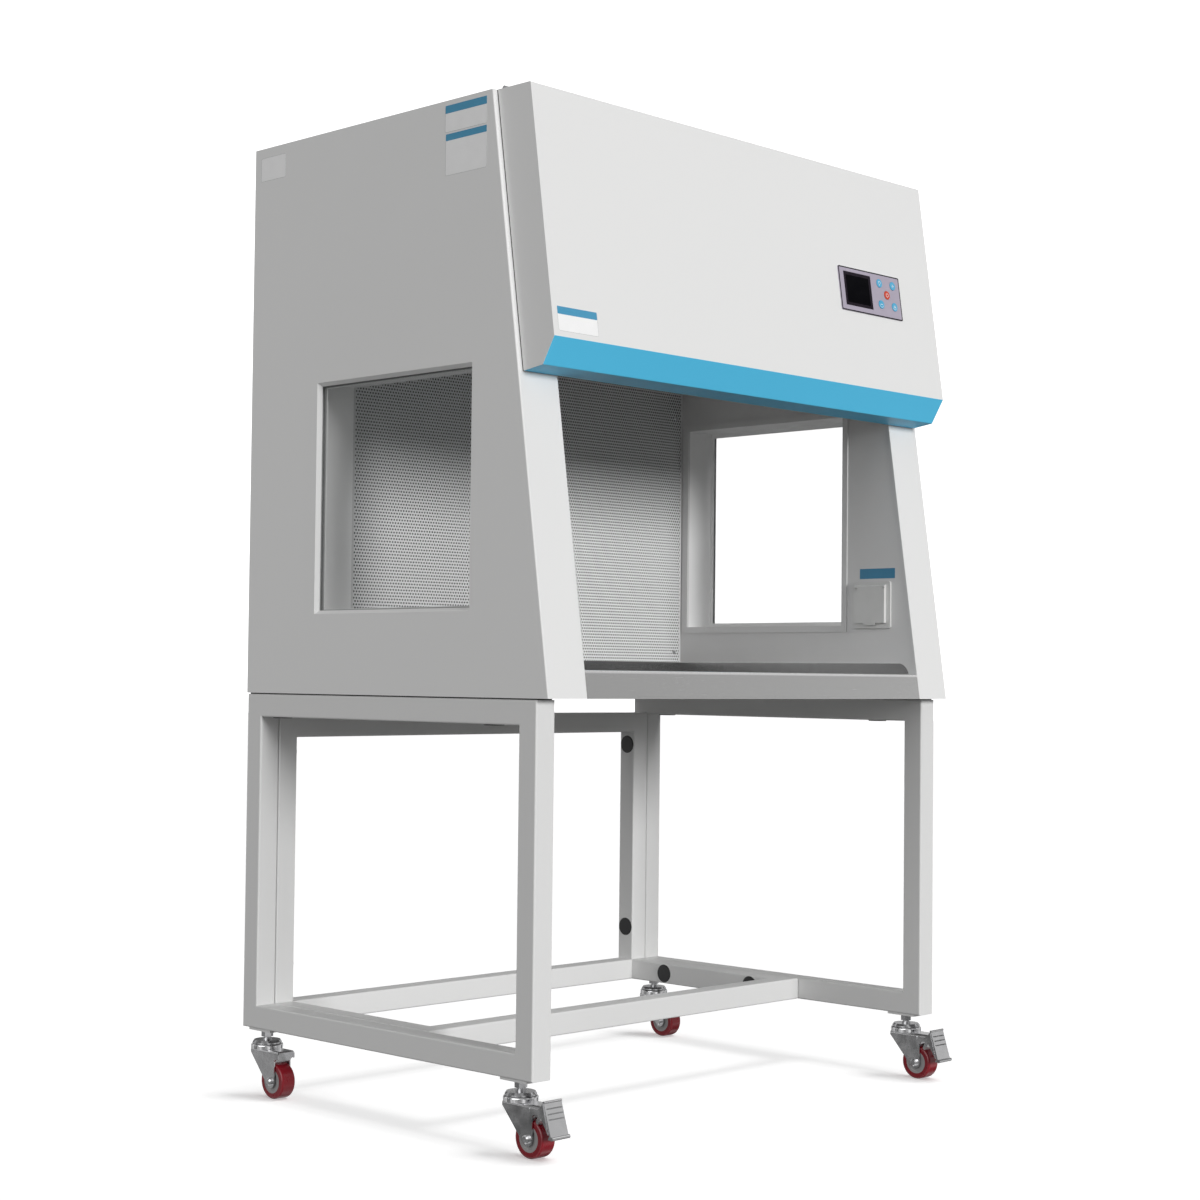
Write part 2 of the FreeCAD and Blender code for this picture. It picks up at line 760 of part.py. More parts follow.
def pedal(name, x, depth):
    """The brake pedal: ribbed plate, two ears, pivot pin and the cam over the tread."""
    body = new_body(f"{name}_pedal")
    pivot_y = "(-trail - pivot_reach)"
    low_y = "(-trail - pedal_reach + pedal_lip)"
    high_y = f"({low_y} + pedal_lean)"
    slope = "(pedal_lean / (pedal_high - pedal_low))"
    pad(body, "side", "-pedal_half", "2 * pedal_half", outline(
        (low_y, "pedal_low"), (high_y, "pedal_high"), (f"{high_y} + pedal_wall", "pedal_high"),
        (f"{low_y} + pedal_wall + pedal_wall", "pedal_low + 2 * pedal_wall"),
        (f"{low_y} + 3 * pedal_wall", "pedal_low + pedal_wall"),
        (f"{low_y} + 3 * pedal_wall", "pedal_low")))
    for curl_y, curl_z, radius in ((low_y, "pedal_low + pedal_lip * 3 / 4", "pedal_lip"),
                                   (high_y, "pedal_high - pedal_wall / 2", "pedal_lip * 2 / 3")):
        pad(body, "side", "-pedal_half", "2 * pedal_half", circle(curl_y, curl_z, radius))
    for share in ("0.52", "0.66", "0.8"):
        level = f"(pedal_low + {share} * (pedal_high - pedal_low))"
        face = f"({low_y} + {slope} * ({level} - pedal_low))"
        pad(body, "side", "-pedal_half + pedal_wall", "2 * (pedal_half - pedal_wall)", outline(
            (f"{face} - pedal_wall / 2", level), (f"{face} + pedal_wall / 2", f"{level} - pedal_wall"),
            (f"{face} + pedal_wall / 2 + {slope} * pedal_wall", f"{level} + pedal_wall")))
    ear = outline(
        (f"{pivot_y} + 2 * pivot_pin", "pivot_level", "-2 * pivot_pin"),
        (f"{pivot_y}", "pivot_level - 2 * pivot_pin"),
        (f"{low_y} + 2 * pedal_wall + {slope} * 2 * pedal_wall", "pedal_low + 3 * pedal_wall"),
        (f"{high_y} + pedal_wall / 2", "pedal_high - pedal_wall"),
        (f"{pivot_y}", "pivot_level + 2 * pivot_pin", "-2 * pivot_pin"))
    for _, side in SIDES:
        start, length = mirrored(side, "fork_half + seam", "pedal_half + seam + pedal_wall / 2")
        pad(body, "side", start, length, ear)
    pad(body, "side", "-pedal_half", "2 * pedal_half", circle(pivot_y, "pivot_level", "pivot_pin"))
    cam_half = "(fork_half - fork_wall - seam)"
    pad(body, "side", f"-{cam_half}", f"2 * {cam_half}", outline(
        (f"{pivot_y} + 2 * pivot_pin", "pivot_level"),
        ("-trail - (tread_radius + 3 * seam) * sin(31)",
         "tread_radius + (tread_radius + 3 * seam) * cos(31)"),
        ("-trail - (tread_radius + 3 * seam) * sin(41)",
         "tread_radius + (tread_radius + 3 * seam) * cos(41)"),
        (f"{pivot_y}", "pivot_level - 2 * pivot_pin", "2 * pivot_pin")))
    place(body, x, at(depth), "0")
    keep(f"{name}_pedal", body)


def casters():
    stems = []
    for side_name, side in SIDES:
        for end, depth in STEM_DEPTHS.items():
            name = f"{end}_{side_name}"
            x = f"{side} * {STEM_X}"
            stems.append(stem(name, x, depth))
            fork(name, x, depth, braked=end == "front")
            wheel(name, x, depth)
            if end == "front":
                pedal(name, x, depth)
    keep("caster_stems", *stems)


# Cabinet shell

WINDOW_LOW = f"({BASE} + window_sill)"
WINDOW_HIGH = f"({BASE} + window_sill + window_tall)"
GASKET_FACE = f"({HALF} - bevel - sheet - 2 * seam)"
GASKET_BACK = f"({GASKET_FACE} - seam - glass - gasket_wall)"


def window_box(grow):
    """The window's outline on the side plane, grown all round."""
    return box(at(f"window_depth_high + {grow}"), f"{WINDOW_LOW} - ({grow})",
               at(f"window_depth_low - ({grow})"), f"{WINDOW_HIGH} + ({grow})")


def leaning_strip(low, high, behind, ahead):
    """A strip along the front plane, between two horizontal offsets ahead of it."""
    return outline(
        (at(f"{front_depth(low)} + {ahead}"), low), (at(f"{front_depth(high)} + {ahead}"), high),
        (at(f"{front_depth(high)} + {behind}"), high), (at(f"{front_depth(low)} + {behind}"), low))


def side_panel(name, side):
    """The outer skin with its leaning front flange, folded returns and window bevel."""
    body = new_body(f"{name}_side_panel")
    skin, thickness = mirrored(side, f"{HALF} - sheet", HALF)
    pad(body, "side", skin, thickness, outline(
        (at("0"), BASE), (at("0"), TOP), (at("top_depth"), TOP), (at("base_depth"), BASE)))
    flange, width = mirrored(side, f"{HALF} - flange_width", HALF)
    pad(body, "side", flange, width, leaning_strip(BASE, TOP, "-sheet", "0"))
    fold, fold_width = mirrored(side, f"{HALF} - return_width", HALF)
    rear = "(sheet + seam)"
    pad(body, "side", fold, fold_width,
        box(at(f"{rear} + sheet"), f"{BASE} + sheet + seam", at(rear), f"{TOP} - sheet - seam"))
    for low in (f"({BASE} + sheet + seam)", f"({TOP} - 2 * sheet - seam)"):
        pad(body, "side", fold, fold_width,
            box(at(f"{front_depth(low)} - sheet"), low, at(rear), f"{low} + sheet"))
    ring, ring_depth = mirrored(side, f"{HALF} - bevel - sheet", HALF)
    pad(body, "side", ring, ring_depth, window_box("2 * sheet"))
    cut(body, "side", ring, ring_depth, window_box("-bevel"))
    outer = number(f"{side} * {HALF}")
    depth_edges = (number(at("window_depth_low + bevel")), number(at("window_depth_high - bevel")))
    level_edges = (number(f"{WINDOW_LOW} + bevel"), number(f"{WINDOW_HIGH} - bevel"))

    def mouth(edge):
        ends = [v.Point for v in edge.Vertexes]
        if not all(near(p.x, outer) for p in ends):
            return False
        upright = any(all(near(p.y, y) for p in ends) for y in depth_edges)
        level = any(all(near(p.z, z) for p in ends) for z in level_edges)
        inside = all(depth_edges[1] - 1 < p.y < depth_edges[0] + 1 for p in ends)
        return inside and (upright or level)

    bevel_edges(body, "bevel", mouth)
    bend = {(round(number(at(depth)), 1), round(number(level), 1))
            for depth, level in (("base_depth", BASE), ("top_depth", TOP))}
    round_edges(body, "corner_radius * 2", lambda edge: {
        (round(v.Point.y, 1), round(v.Point.z, 1)) for v in edge.Vertexes} == bend
        and all(near(v.Point.x, outer) for v in edge.Vertexes))
    keep(f"{name}_side_panel", body)


def inner_wall(name, side):
    """The work-zone wall with the sleeve that lines the window up to the outer skin."""
    body = new_body(f"{name}_inner_wall")
    wall, thickness = mirrored(side, WALL, f"{WALL} + sheet")
    low = f"({BASE} + sheet + seam)"
    high = f"({DECK} - sheet - seam)"
    pad(body, "side", wall, thickness, outline(
        (at("sheet + seam"), low), (at("sheet + seam"), high),
        (at(f"{front_depth(high)} - sheet - seam"), high),
        (at(f"{front_depth(low)} - sheet - seam"), low)))
    sleeve, sleeve_depth = mirrored(side, WALL, f"{HALF} - bevel - sheet - seam")
    pad(body, "side", sleeve, sleeve_depth, window_box("sheet"))
    trim, trim_depth = mirrored(side, f"{WALL} - trim_proud", f"{WALL} + sheet")
    pad(body, "side", trim, trim_depth, window_box("trim_width"))
    hole, hole_depth = mirrored(side, f"{WALL} - trim_proud", f"{HALF} - bevel - sheet - seam")
    cut(body, "side", hole, hole_depth, window_box("0"))
    flange, flange_depth = mirrored(side, f"{GASKET_BACK} - seam - sheet", f"{GASKET_BACK} - seam")
    pad(body, "side", flange, flange_depth, window_box("sheet"))
    cut(body, "side", flange, flange_depth, window_box("-(bevel + gasket_lip)"))
    keep(f"{name}_inner_wall", body)


def windows():
    panes = []
    gaskets = []
    for name, side in SIDES:
        pane = new_body(f"{name}_window_pane")
        start, thickness = mirrored(side, f"{GASKET_FACE} - glass", GASKET_FACE)
        pad(pane, "side", start, thickness, window_box("-(2 * seam + gasket_wall)"))
        panes.append(pane)
        gasket = new_body(f"{name}_window_gasket")
        start, thickness = mirrored(side, GASKET_BACK, GASKET_FACE)
        pad(gasket, "side", start, thickness, window_box("-seam"))
        seat, seat_depth = mirrored(side, f"{GASKET_FACE} - seam - glass", GASKET_FACE)
        cut(gasket, "side", seat, seat_depth, window_box("-(seam + gasket_wall)"))
        cut(gasket, "side", start, thickness, window_box("-(bevel + gasket_lip / 2)"))
        gaskets.append(gasket)
    keep("window_panes", *panes)
    keep("window_gaskets", *gaskets)


INSIDE_SKIN = f"({HALF} - sheet - seam)"


def rear_cover():
    body = new_body("rear_cover")
    pad(body, "front", at("0"), "sheet",
        box(f"-{INSIDE_SKIN}", BASE, INSIDE_SKIN, TOP),
        *[circle(x, z, "screw_shank + seam / 2") for x, z in rear_screws()],
        box(f"{INLET_X} - inlet_body / 2 - seam", f"{INLET_Z} - inlet_tall / 3 - seam",
            f"{INLET_X} + inlet_body / 2 + seam", f"{INLET_Z} + inlet_tall / 3 + seam"))
    keep("rear_cover", body)


def rear_screws():
    x_edge = f"({HALF} - return_width / 2)"
    rows = (f"({BASE} + return_width)", f"({BASE} + cabinet_height / 3)",
            f"({BASE} + cabinet_height * 2 / 3)", f"({TOP} - return_width)")
    return [(f"{side} * {x_edge}", z) for _, side in SIDES for z in rows]


INLET_X = f"({HALF} - 4 * return_width)"
INLET_Z = f"({TOP} - 3 * return_width)"
INTAKE_MIDDLE = "(intake_forward + intake_depth / 2)"


def intake_box(grow):
    return box(f"-(intake_width / 2 + {grow})", at(f"intake_forward + intake_depth + {grow}"),
               f"intake_width / 2 + {grow}", at(f"intake_forward - ({grow})"))


def top_cover():
    """The roof with a well for the pre-filter and a lip down the front plane."""
    body = new_body("top_cover")
    skin = f"({TOP} - sheet)"
    lip = f"({HALF} - flange_width - seam)"
    rear = at("sheet + seam")
    tongue = at(f"{front_depth(TOP)} - sheet / 2")
    shoulder = at(f"{front_depth(TOP)} - sheet - 2 * seam")
    pad(body, "top", skin, "sheet", outline(
        (f"-{INSIDE_SKIN}", rear), (f"-{INSIDE_SKIN}", shoulder), (f"-{lip}", shoulder),
        (f"-{lip}", tongue), (lip, tongue), (lip, shoulder), (INSIDE_SKIN, shoulder),
        (INSIDE_SKIN, rear)))
    lip_low = f"({TOP} - return_width * 1.5)"
    pad(body, "side", f"-{lip}", f"2 * {lip}",
        leaning_strip(lip_low, TOP, "-sheet", "0"))
    well = "(prefilter_thick + sheet)"
    pad(body, "top", f"{TOP} - sheet - {well}", well, intake_box("sheet"))
    cut(body, "top", f"{TOP} - sheet - {well} + sheet", well, intake_box("0"))
    cut(body, "top", f"{TOP} - 2 * sheet - {well}", f"{well} + 2 * sheet", intake_box("-intake_ledge"))
    keep("top_cover", body)


def intake():
    grille = new_body("intake_grille")
    overlap = "(return_width / 2)"
    count = int((number("intake_width") - number("slot_pitch")) // number("slot_pitch"))
    first = f"(-({count} - 1) * slot_pitch / 2)"
    pad(grille, "top", TOP, "sheet", intake_box(overlap))
    cut(grille, "top", TOP, "sheet", *[
        box(f"{first} + {i} * slot_pitch - slot_width / 2",
            at("intake_forward + intake_depth - intake_ledge"),
            f"{first} + {i} * slot_pitch + slot_width / 2",
            at("intake_forward + intake_ledge")) for i in range(count)])
    holes = [circle(x, y, "screw_shank + seam / 2") for x, y in intake_screws()]
    cut(grille, "top", TOP, "sheet", *holes)
    keep("intake_grille", grille)
    foam = new_body("prefilter")
    pad(foam, "top", f"{TOP} - sheet - prefilter_thick + seam", "prefilter_thick", intake_box("-seam"))
    keep("prefilter", foam)


def intake_screws():
    x = "(intake_width / 2 + return_width / 4)"
    depths = ("(intake_forward + return_width)", "(intake_forward + intake_depth - return_width)")
    return [(f"{side} * {x}", at(d)) for _, side in SIDES for d in depths]


def base_panel():
    body = new_body("base_panel")
    edge = f"({front_depth(BASE)} - sheet - 2 * seam - lip_rise)"
    holes = [circle(f"{side} * {STEM_X}", at(depth), FIXING_HOLE)
             for _, side in SIDES for depth in FIXINGS]
    pad(body, "top", BASE, "sheet",
        box(f"-{INSIDE_SKIN}", at(edge), INSIDE_SKIN, at("sheet + seam")), *holes)
    keep("base_panel", body)


def fan_deck():
    """The work zone's ceiling, folded down at the front into the header behind the hood."""
    body = new_body("fan_deck")
    half = f"({HALF} - flange_width - seam)"
    low = f"({DECK} - sheet)"
    pad(body, "top", low, "sheet",
        box(f"-{INSIDE_SKIN}", at(f"{front_depth(low)} - 2 * sheet - seam"),
            INSIDE_SKIN, at("2 * sheet + 2 * seam")))
    pad(body, "side", f"-{half}", f"2 * {half}",
        leaning_strip(f"({DECK} - header_drop)", DECK, "-sheet", "0"))
    pad(body, "side", f"-{half}", f"2 * {half}",
        outline((at(f"{front_depth(low)} - 3 * sheet - seam"), low), (at(f"{front_depth(low)}"), low),
                (at(f"{front_depth(DECK)}"), DECK), (at(f"{front_depth(DECK)} - 3 * sheet - seam"), DECK)))
    rear = at("blower_depth - scroll_radius - 2.5 * scroll_step + sheet")
    ahead = at("blower_depth - outlet_front - sheet")
    cut(body, "top", low, "sheet",
        box("-blower_half + 2 * sheet", ahead, "blower_half - 2 * sheet", rear))
    keep("fan_deck", body)


def work_surface():
    """A folded tray: front apron, raised lip, sunk floor and upstands on three sides."""
    body = new_body("work_surface")
    apron = f"({HALF} - flange_width - seam)"
    half = f"({WALL} - seam)"
    lip_top = f"({WORK} + lip_rise)"
    lip_front = front_depth(lip_top)
    floor = f"({WORK} - sheet)"
    back = "(diffuser_depth + seam)"
    upstand = f"({WORK} + upstand_rise)"
    pad(body, "side", f"-{apron}", f"2 * {apron}", outline(
        (at(front_depth(BASE)), BASE), (at(lip_front), lip_top),
        (at(f"{lip_front} - lip_width"), lip_top), (at(f"{lip_front} - lip_width - lip_rise"), WORK),
        (at(f"{lip_front} - lip_width - lip_rise - sheet"), WORK),
        (at(f"{lip_front} - lip_width - lip_rise - sheet"), floor),
        (at(f"{lip_front} - lip_width - lip_rise + sheet / 2"), floor),
        (at(f"{lip_front} - lip_width + sheet / 2"), f"{lip_top} - sheet"),
        (at(f"{lip_front} - sheet"), f"{lip_top} - sheet"),
        (at(f"{front_depth(BASE)} - sheet"), f"{BASE} + sheet"),
        (at(f"{front_depth(BASE)} - sheet - lip_rise"), f"{BASE} + sheet"),
        (at(f"{front_depth(BASE)} - sheet - lip_rise"), BASE)))
    edge = f"({lip_front} - lip_width - lip_rise)"
    pad(body, "top", floor, "sheet", box(f"-{half}", at(edge), half, at(back)))
    pad(body, "front", at(back), "sheet", box(f"-{half}", floor, half, upstand))
    for _, side in SIDES:
        strip, thickness = mirrored(side, f"{half} - sheet", half)
        pad(body, "side", strip, thickness, outline(
            (at(back), floor), (at(back), upstand),
            (at(f"{edge} - upstand_rise"), upstand, "upstand_rise"),
            (at(edge), WORK), (at(edge), floor)))
    round_edges(body, "sheet", along(0, (at(lip_front), lip_top)))
    keep("work_surface", body)


def diffuser():
    """The plain blank of the perforated sheet, a pan that stands off the filter."""
    body = new_body("diffuser_plate")
    half = f"({WALL} - 2 * seam)"
    low = f"({BASE} + 2 * sheet + seam)"
    high = f"({DECK} - sheet - 2 * seam)"
    stand_off = "(filter_gap)"
    pad(body, "front", at(f"diffuser_depth - {stand_off}"), stand_off,
        box(f"-{half}", low, half, high),
        *[circle(x, z, "screw_shank + seam / 2") for x, z in diffuser_screws()])
    cut(body, "front", at(f"diffuser_depth - {stand_off}"), f"{stand_off} - sheet",
        box(f"-{half} + sheet", f"{low} + sheet", f"{half} - sheet", f"{high} - sheet"))
    keep("diffuser_plate", body)


def diffuser_screws():
    x = f"({WALL} - return_width)"
    low = f"({BASE} + work_level + upstand_rise + return_width)"
    high = f"({WINDOW_HIGH} + return_width + bevel)"
    return [(f"{side} * {x}", z) for _, side in SIDES for z in (low, high)]


def panel_screws():
    """Dome-head screws of the diffuser, the rear cover and the intake grille."""
    screws = []
    spots = [(x, at("diffuser_depth"), z, 90) for x, z in diffuser_screws()]
    spots += [(x, at("0"), z, -90) for x, z in rear_screws()]
    spots += [(x, y, f"{TOP} + sheet", 0) for x, y in intake_screws()]
    for index, (x, y, z, turn) in enumerate(spots, start=1):
        body = new_body(f"panel_screw_{index}")
        spin(body, "side", "0", "V_Axis", outline(
            ("0", "-sheet"), ("screw_shank", "-sheet"), ("screw_shank", "0"), ("screw_head", "0"),
            ("screw_head * 0.8", "screw_rise * 0.7"), ("screw_head * 0.3", "screw_rise"),
            ("0", "screw_rise")))
        body.Placement = Placement(Vector(), Rotation(Vector(1, 0, 0), turn))
        place(body, x, y, z)
        screws.append(body)
    keep("panel_screws", *screws)


# Air path

def hepa_filter():
    frame = new_body("hepa_frame")
    half = f"({WALL} - 3 * seam)"
    low = f"({BASE} + sheet + seam)"
    high = f"({DECK} - sheet - seam)"
    back = "(diffuser_depth - filter_gap - filter_thick)"
    pad(frame, "front", at(back), "filter_thick - seam", box(f"-{half}", low, half, high))
    cut(frame, "front", at(back), "filter_thick - seam",
        box(f"-{half} + filter_wall", f"{low} + filter_wall",
            f"{half} - filter_wall", f"{high} - filter_wall"))
    keep("hepa_frame", frame)
    media = new_body("hepa_media")
    inner = f"(2 * ({half} - filter_wall) - 2 * seam)"
    count = int(number(inner) // number("pleat_pitch"))
    pitch = f"({inner} / {count})"
    crest = at(f"{back} + filter_wall / 2")
    valley = at(f"{back} + filter_thick - filter_wall / 2")
    left = f"(-{inner} / 2)"
    bottom = f"({low} + filter_wall + seam)"
    pad(media, "top", bottom, f"{high} - {low} - 2 * filter_wall - 2 * seam", outline(
        (left, crest), (f"{left} + pleat_wall", crest),
        (f"{left} + {pitch} / 2", f"{valley} + pleat_wall"),
        (f"{left} + {pitch} - pleat_wall", crest), (f"{left} + {pitch}", crest),
        (f"{left} + {pitch} / 2 + pleat_wall / 2", valley),
        (f"{left} + {pitch} / 2 - pleat_wall / 2", valley)))
    doc.recompute()
    rows = media.newObject("PartDesign::LinearPattern", "pleats")
    rows.Originals = [media.Tip]
    rows.Direction = (media.Tip.Profile[0], ["H_Axis"])
    bind(rows, "Length", f"{inner} - {pitch}")
    rows.Occurrences = count
    media.Tip = rows
    keep("hepa_media", media)


def scroll(thin):
    """The fan casing's outline, thinned all round; its centre is the sketch origin.

    Four quarter arcs grow by one step each, as a fan casing is set out on a square.
    """
    half = "scroll_step / 2"
    tongue_r = f"(scroll_radius - scroll_step - {thin})"
    across = f"({half} + tongue_reach)"
    tongue_z = f"(-({half}) - sqrt({tongue_r} * {tongue_r} - {across} * {across}))"
    r_low = f"(scroll_radius - {thin})"
    r_top = f"(scroll_radius + scroll_step - {thin})"
    r_rear = f"(scroll_radius + 2 * scroll_step - {thin})"
    rear = f"({half} + {r_rear})"
    bottom = f"(-(blower_level - deck_level) + seam)"
    # sketch x runs to the rear, sketch y runs up
    return outline(
        ("tongue_reach", tongue_z, f"-{tongue_r}"),
        (f"-({half})", f"{half} - {r_low}", f"-{r_low}"),
        (f"-({half}) - {r_low}", half, f"-{r_top}"),
        (half, f"{half} + {r_top}", f"-{r_rear}"),
        (rear, f"-({half})"),
        (rear, bottom), (f"outlet_front + {thin}", bottom))


def blower():
    middle_y = at("blower_depth")
    middle_z = f"({BASE} + blower_level)"
    housing = new_body("blower_housing")
    pad(housing, "side", "-blower_half", "2 * blower_half", scroll("0"))
    flange_rear = "(scroll_radius + 2.5 * scroll_step)"
    floor = "(deck_level - blower_level + seam)"
    cut(housing, "side", "-blower_half + sheet", "2 * (blower_half - sheet)", scroll("sheet"))
    pad(housing, "top", floor, "sheet",
        box("-blower_half - return_width", "outlet_front - return_width",
            "blower_half + return_width", flange_rear))
    for _, side in SIDES:
        start, length = mirrored(side, "blower_half - sheet", "blower_half + inlet_ring")
        pad(housing, "side", start, length, circle("0", "0", "inlet_radius + inlet_ring"))
    cut(housing, "side", "-blower_half - inlet_ring", "2 * (blower_half + inlet_ring)",
        circle("0", "0", "inlet_radius"))
    cut(housing, "top", floor, "sheet",
        box("-blower_half + sheet", "outlet_front + sheet", "blower_half - sheet", f"{flange_rear} - sheet"))
    place(housing, "0", middle_y, middle_z)
    keep("blower_housing", housing)

    impeller = new_body("blower_impeller")
    pad(impeller, "side", "0", "blade_wall",
        circle("0", "0", "wheel_outer"), circle("0", "0", "shaft_radius * 2"))
    tip_z = "sqrt(wheel_outer * wheel_outer - blade_curve * blade_curve / 9)"
    wall = "blade_wall"
    blade = pad(impeller, "side", "-wheel_half", "2 * wheel_half", outline(
        ("0", "wheel_inner", "blade_curve"), ("blade_curve / 3", f"{tip_z} - {wall}"),
        (f"blade_curve / 3 + {wall}", f"{tip_z} - {wall}", f"-(blade_curve + {wall})"),
        (f"{wall}", "wheel_inner")))
    doc.recompute()
    ring_of = impeller.newObject("PartDesign::PolarPattern", "blades")
    ring_of.Originals = [blade]
    ring_of.Axis = (origin_axis(impeller, "X_Axis"), [""])
    ring_of.Angle = 360
    bind(ring_of, "Occurrences", "blade_count")
    impeller.Tip = ring_of
    for _, side in SIDES:
        start, length = mirrored(side, "wheel_half - wheel_ring", "wheel_half")
        pad(impeller, "side", start, length, circle("0", "0", "wheel_outer"),
            circle("0", "0", "wheel_outer - 2 * wheel_ring"))
    place(impeller, "0", middle_y, middle_z)
    keep("blower_impeller", impeller)

    rotor = new_body("motor_rotor")
    play = "shaft_radius + stem_play"
    spin(rotor, "top", "0", "H_Axis", outline(
        ("0", play), ("0", "rotor_radius"), ("-rotor_length", "rotor_radius"),
        ("-rotor_length", "rotor_radius - rotor_wall"), ("-rotor_wall", "rotor_radius - rotor_wall"),
        ("-rotor_wall", "2 * shaft_radius"), ("-3 * rotor_wall", "2 * shaft_radius"),
        ("-3 * rotor_wall", play)))
    place(rotor, "0", middle_y, middle_z)
    keep("motor_rotor", rotor)

    mount = new_body("motor_mount")
    end = "(-(blower_half + inlet_ring + seam + spider_wall))"
    core = "(rotor_radius - rotor_wall - 2 * rotor_wall)"
    spin(mount, "top", "0", "H_Axis", outline(
        (end, "0"), (f"{end}", "2.5 * shaft_radius"), (f"{end} + spider_wall", "2.5 * shaft_radius"),
        (f"{end} + spider_wall", "shaft_radius"), ("-rotor_length + rotor_wall", "shaft_radius"),
        ("-rotor_length + rotor_wall", core), ("-4 * rotor_wall", core),
        ("-4 * rotor_wall", "shaft_radius"), ("-rotor_wall / 2", "shaft_radius"), ("-rotor_wall / 2", "0")))
    arm = pad(mount, "side", end, "spider_wall",
              box("-spider_width / 2", "shaft_radius", "spider_width / 2", "inlet_radius + inlet_ring"))
    doc.recompute()
    arms = mount.newObject("PartDesign::PolarPattern", "spider_arms")
    arms.Originals = [arm]
    arms.Axis = (origin_axis(mount, "X_Axis"), [""])
    arms.Angle = 360
    arms.Occurrences = 3
    mount.Tip = arms
    place(mount, "0", middle_y, middle_z)
    keep("motor_mount", mount)


def origin_axis(body, role):
    return next(f for f in body.Origin.OriginFeatures if f.Role == role)


# Lamps, socket and power inlet

LAMP_DEPTH = f"({front_depth(DECK)} - lamp_setback)"
UV_DEPTH = f"({front_depth(DECK)} - uv_setback)"


def lamps():
    under = f"({DECK} - sheet - seam)"
    led = new_body("led_lamp")
    pad(led, "side", "-lamp_length / 2", "lamp_length", outline(
        (at(f"{LAMP_DEPTH} - lamp_width / 2"), under), (at(f"{LAMP_DEPTH} + lamp_width / 2"), under),
        (at(f"{LAMP_DEPTH} + lamp_width / 2"), f"{under} - lamp_tall / 2", "lamp_width / 2"),
        (at(f"{LAMP_DEPTH} - lamp_width / 2"), f"{under} - lamp_tall / 2")))
    keep("led_lamp", led)
    tube = new_body("uv_tube")
    axis_z = f"({DECK} - uv_drop)"
    pad(tube, "side", "-uv_length / 2", "uv_length", circle(at(f"{UV_DEPTH}"), axis_z, "uv_radius"))
    holders = []
    for name, side in SIDES:
        holder = new_body(f"uv_{name}_holder")
        start, length = mirrored(side, "uv_length / 2 - 2 * uv_radius", "uv_length / 2 + uv_radius")
        pad(holder, "side", start, length, outline(
            (at(f"{UV_DEPTH} - 1.5 * uv_radius"), under),
            (at(f"{UV_DEPTH} - 1.5 * uv_radius"), axis_z, "-1.5 * uv_radius"),
            (at(f"{UV_DEPTH} + 1.5 * uv_radius"), axis_z),
            (at(f"{UV_DEPTH} + 1.5 * uv_radius"), under)))
        seat, depth = mirrored(side, "uv_length / 2 - 2 * uv_radius", "uv_length / 2")
        cut(holder, "side", seat, depth, circle(at(f"{UV_DEPTH}"), axis_z, "uv_radius + seam"))
        holders.append(holder)
    keep("uv_lamp", tube, *holders)


SOCKET_X = f"({WALL} - seam)"
SOCKET_Z = f"({BASE} + socket_level)"


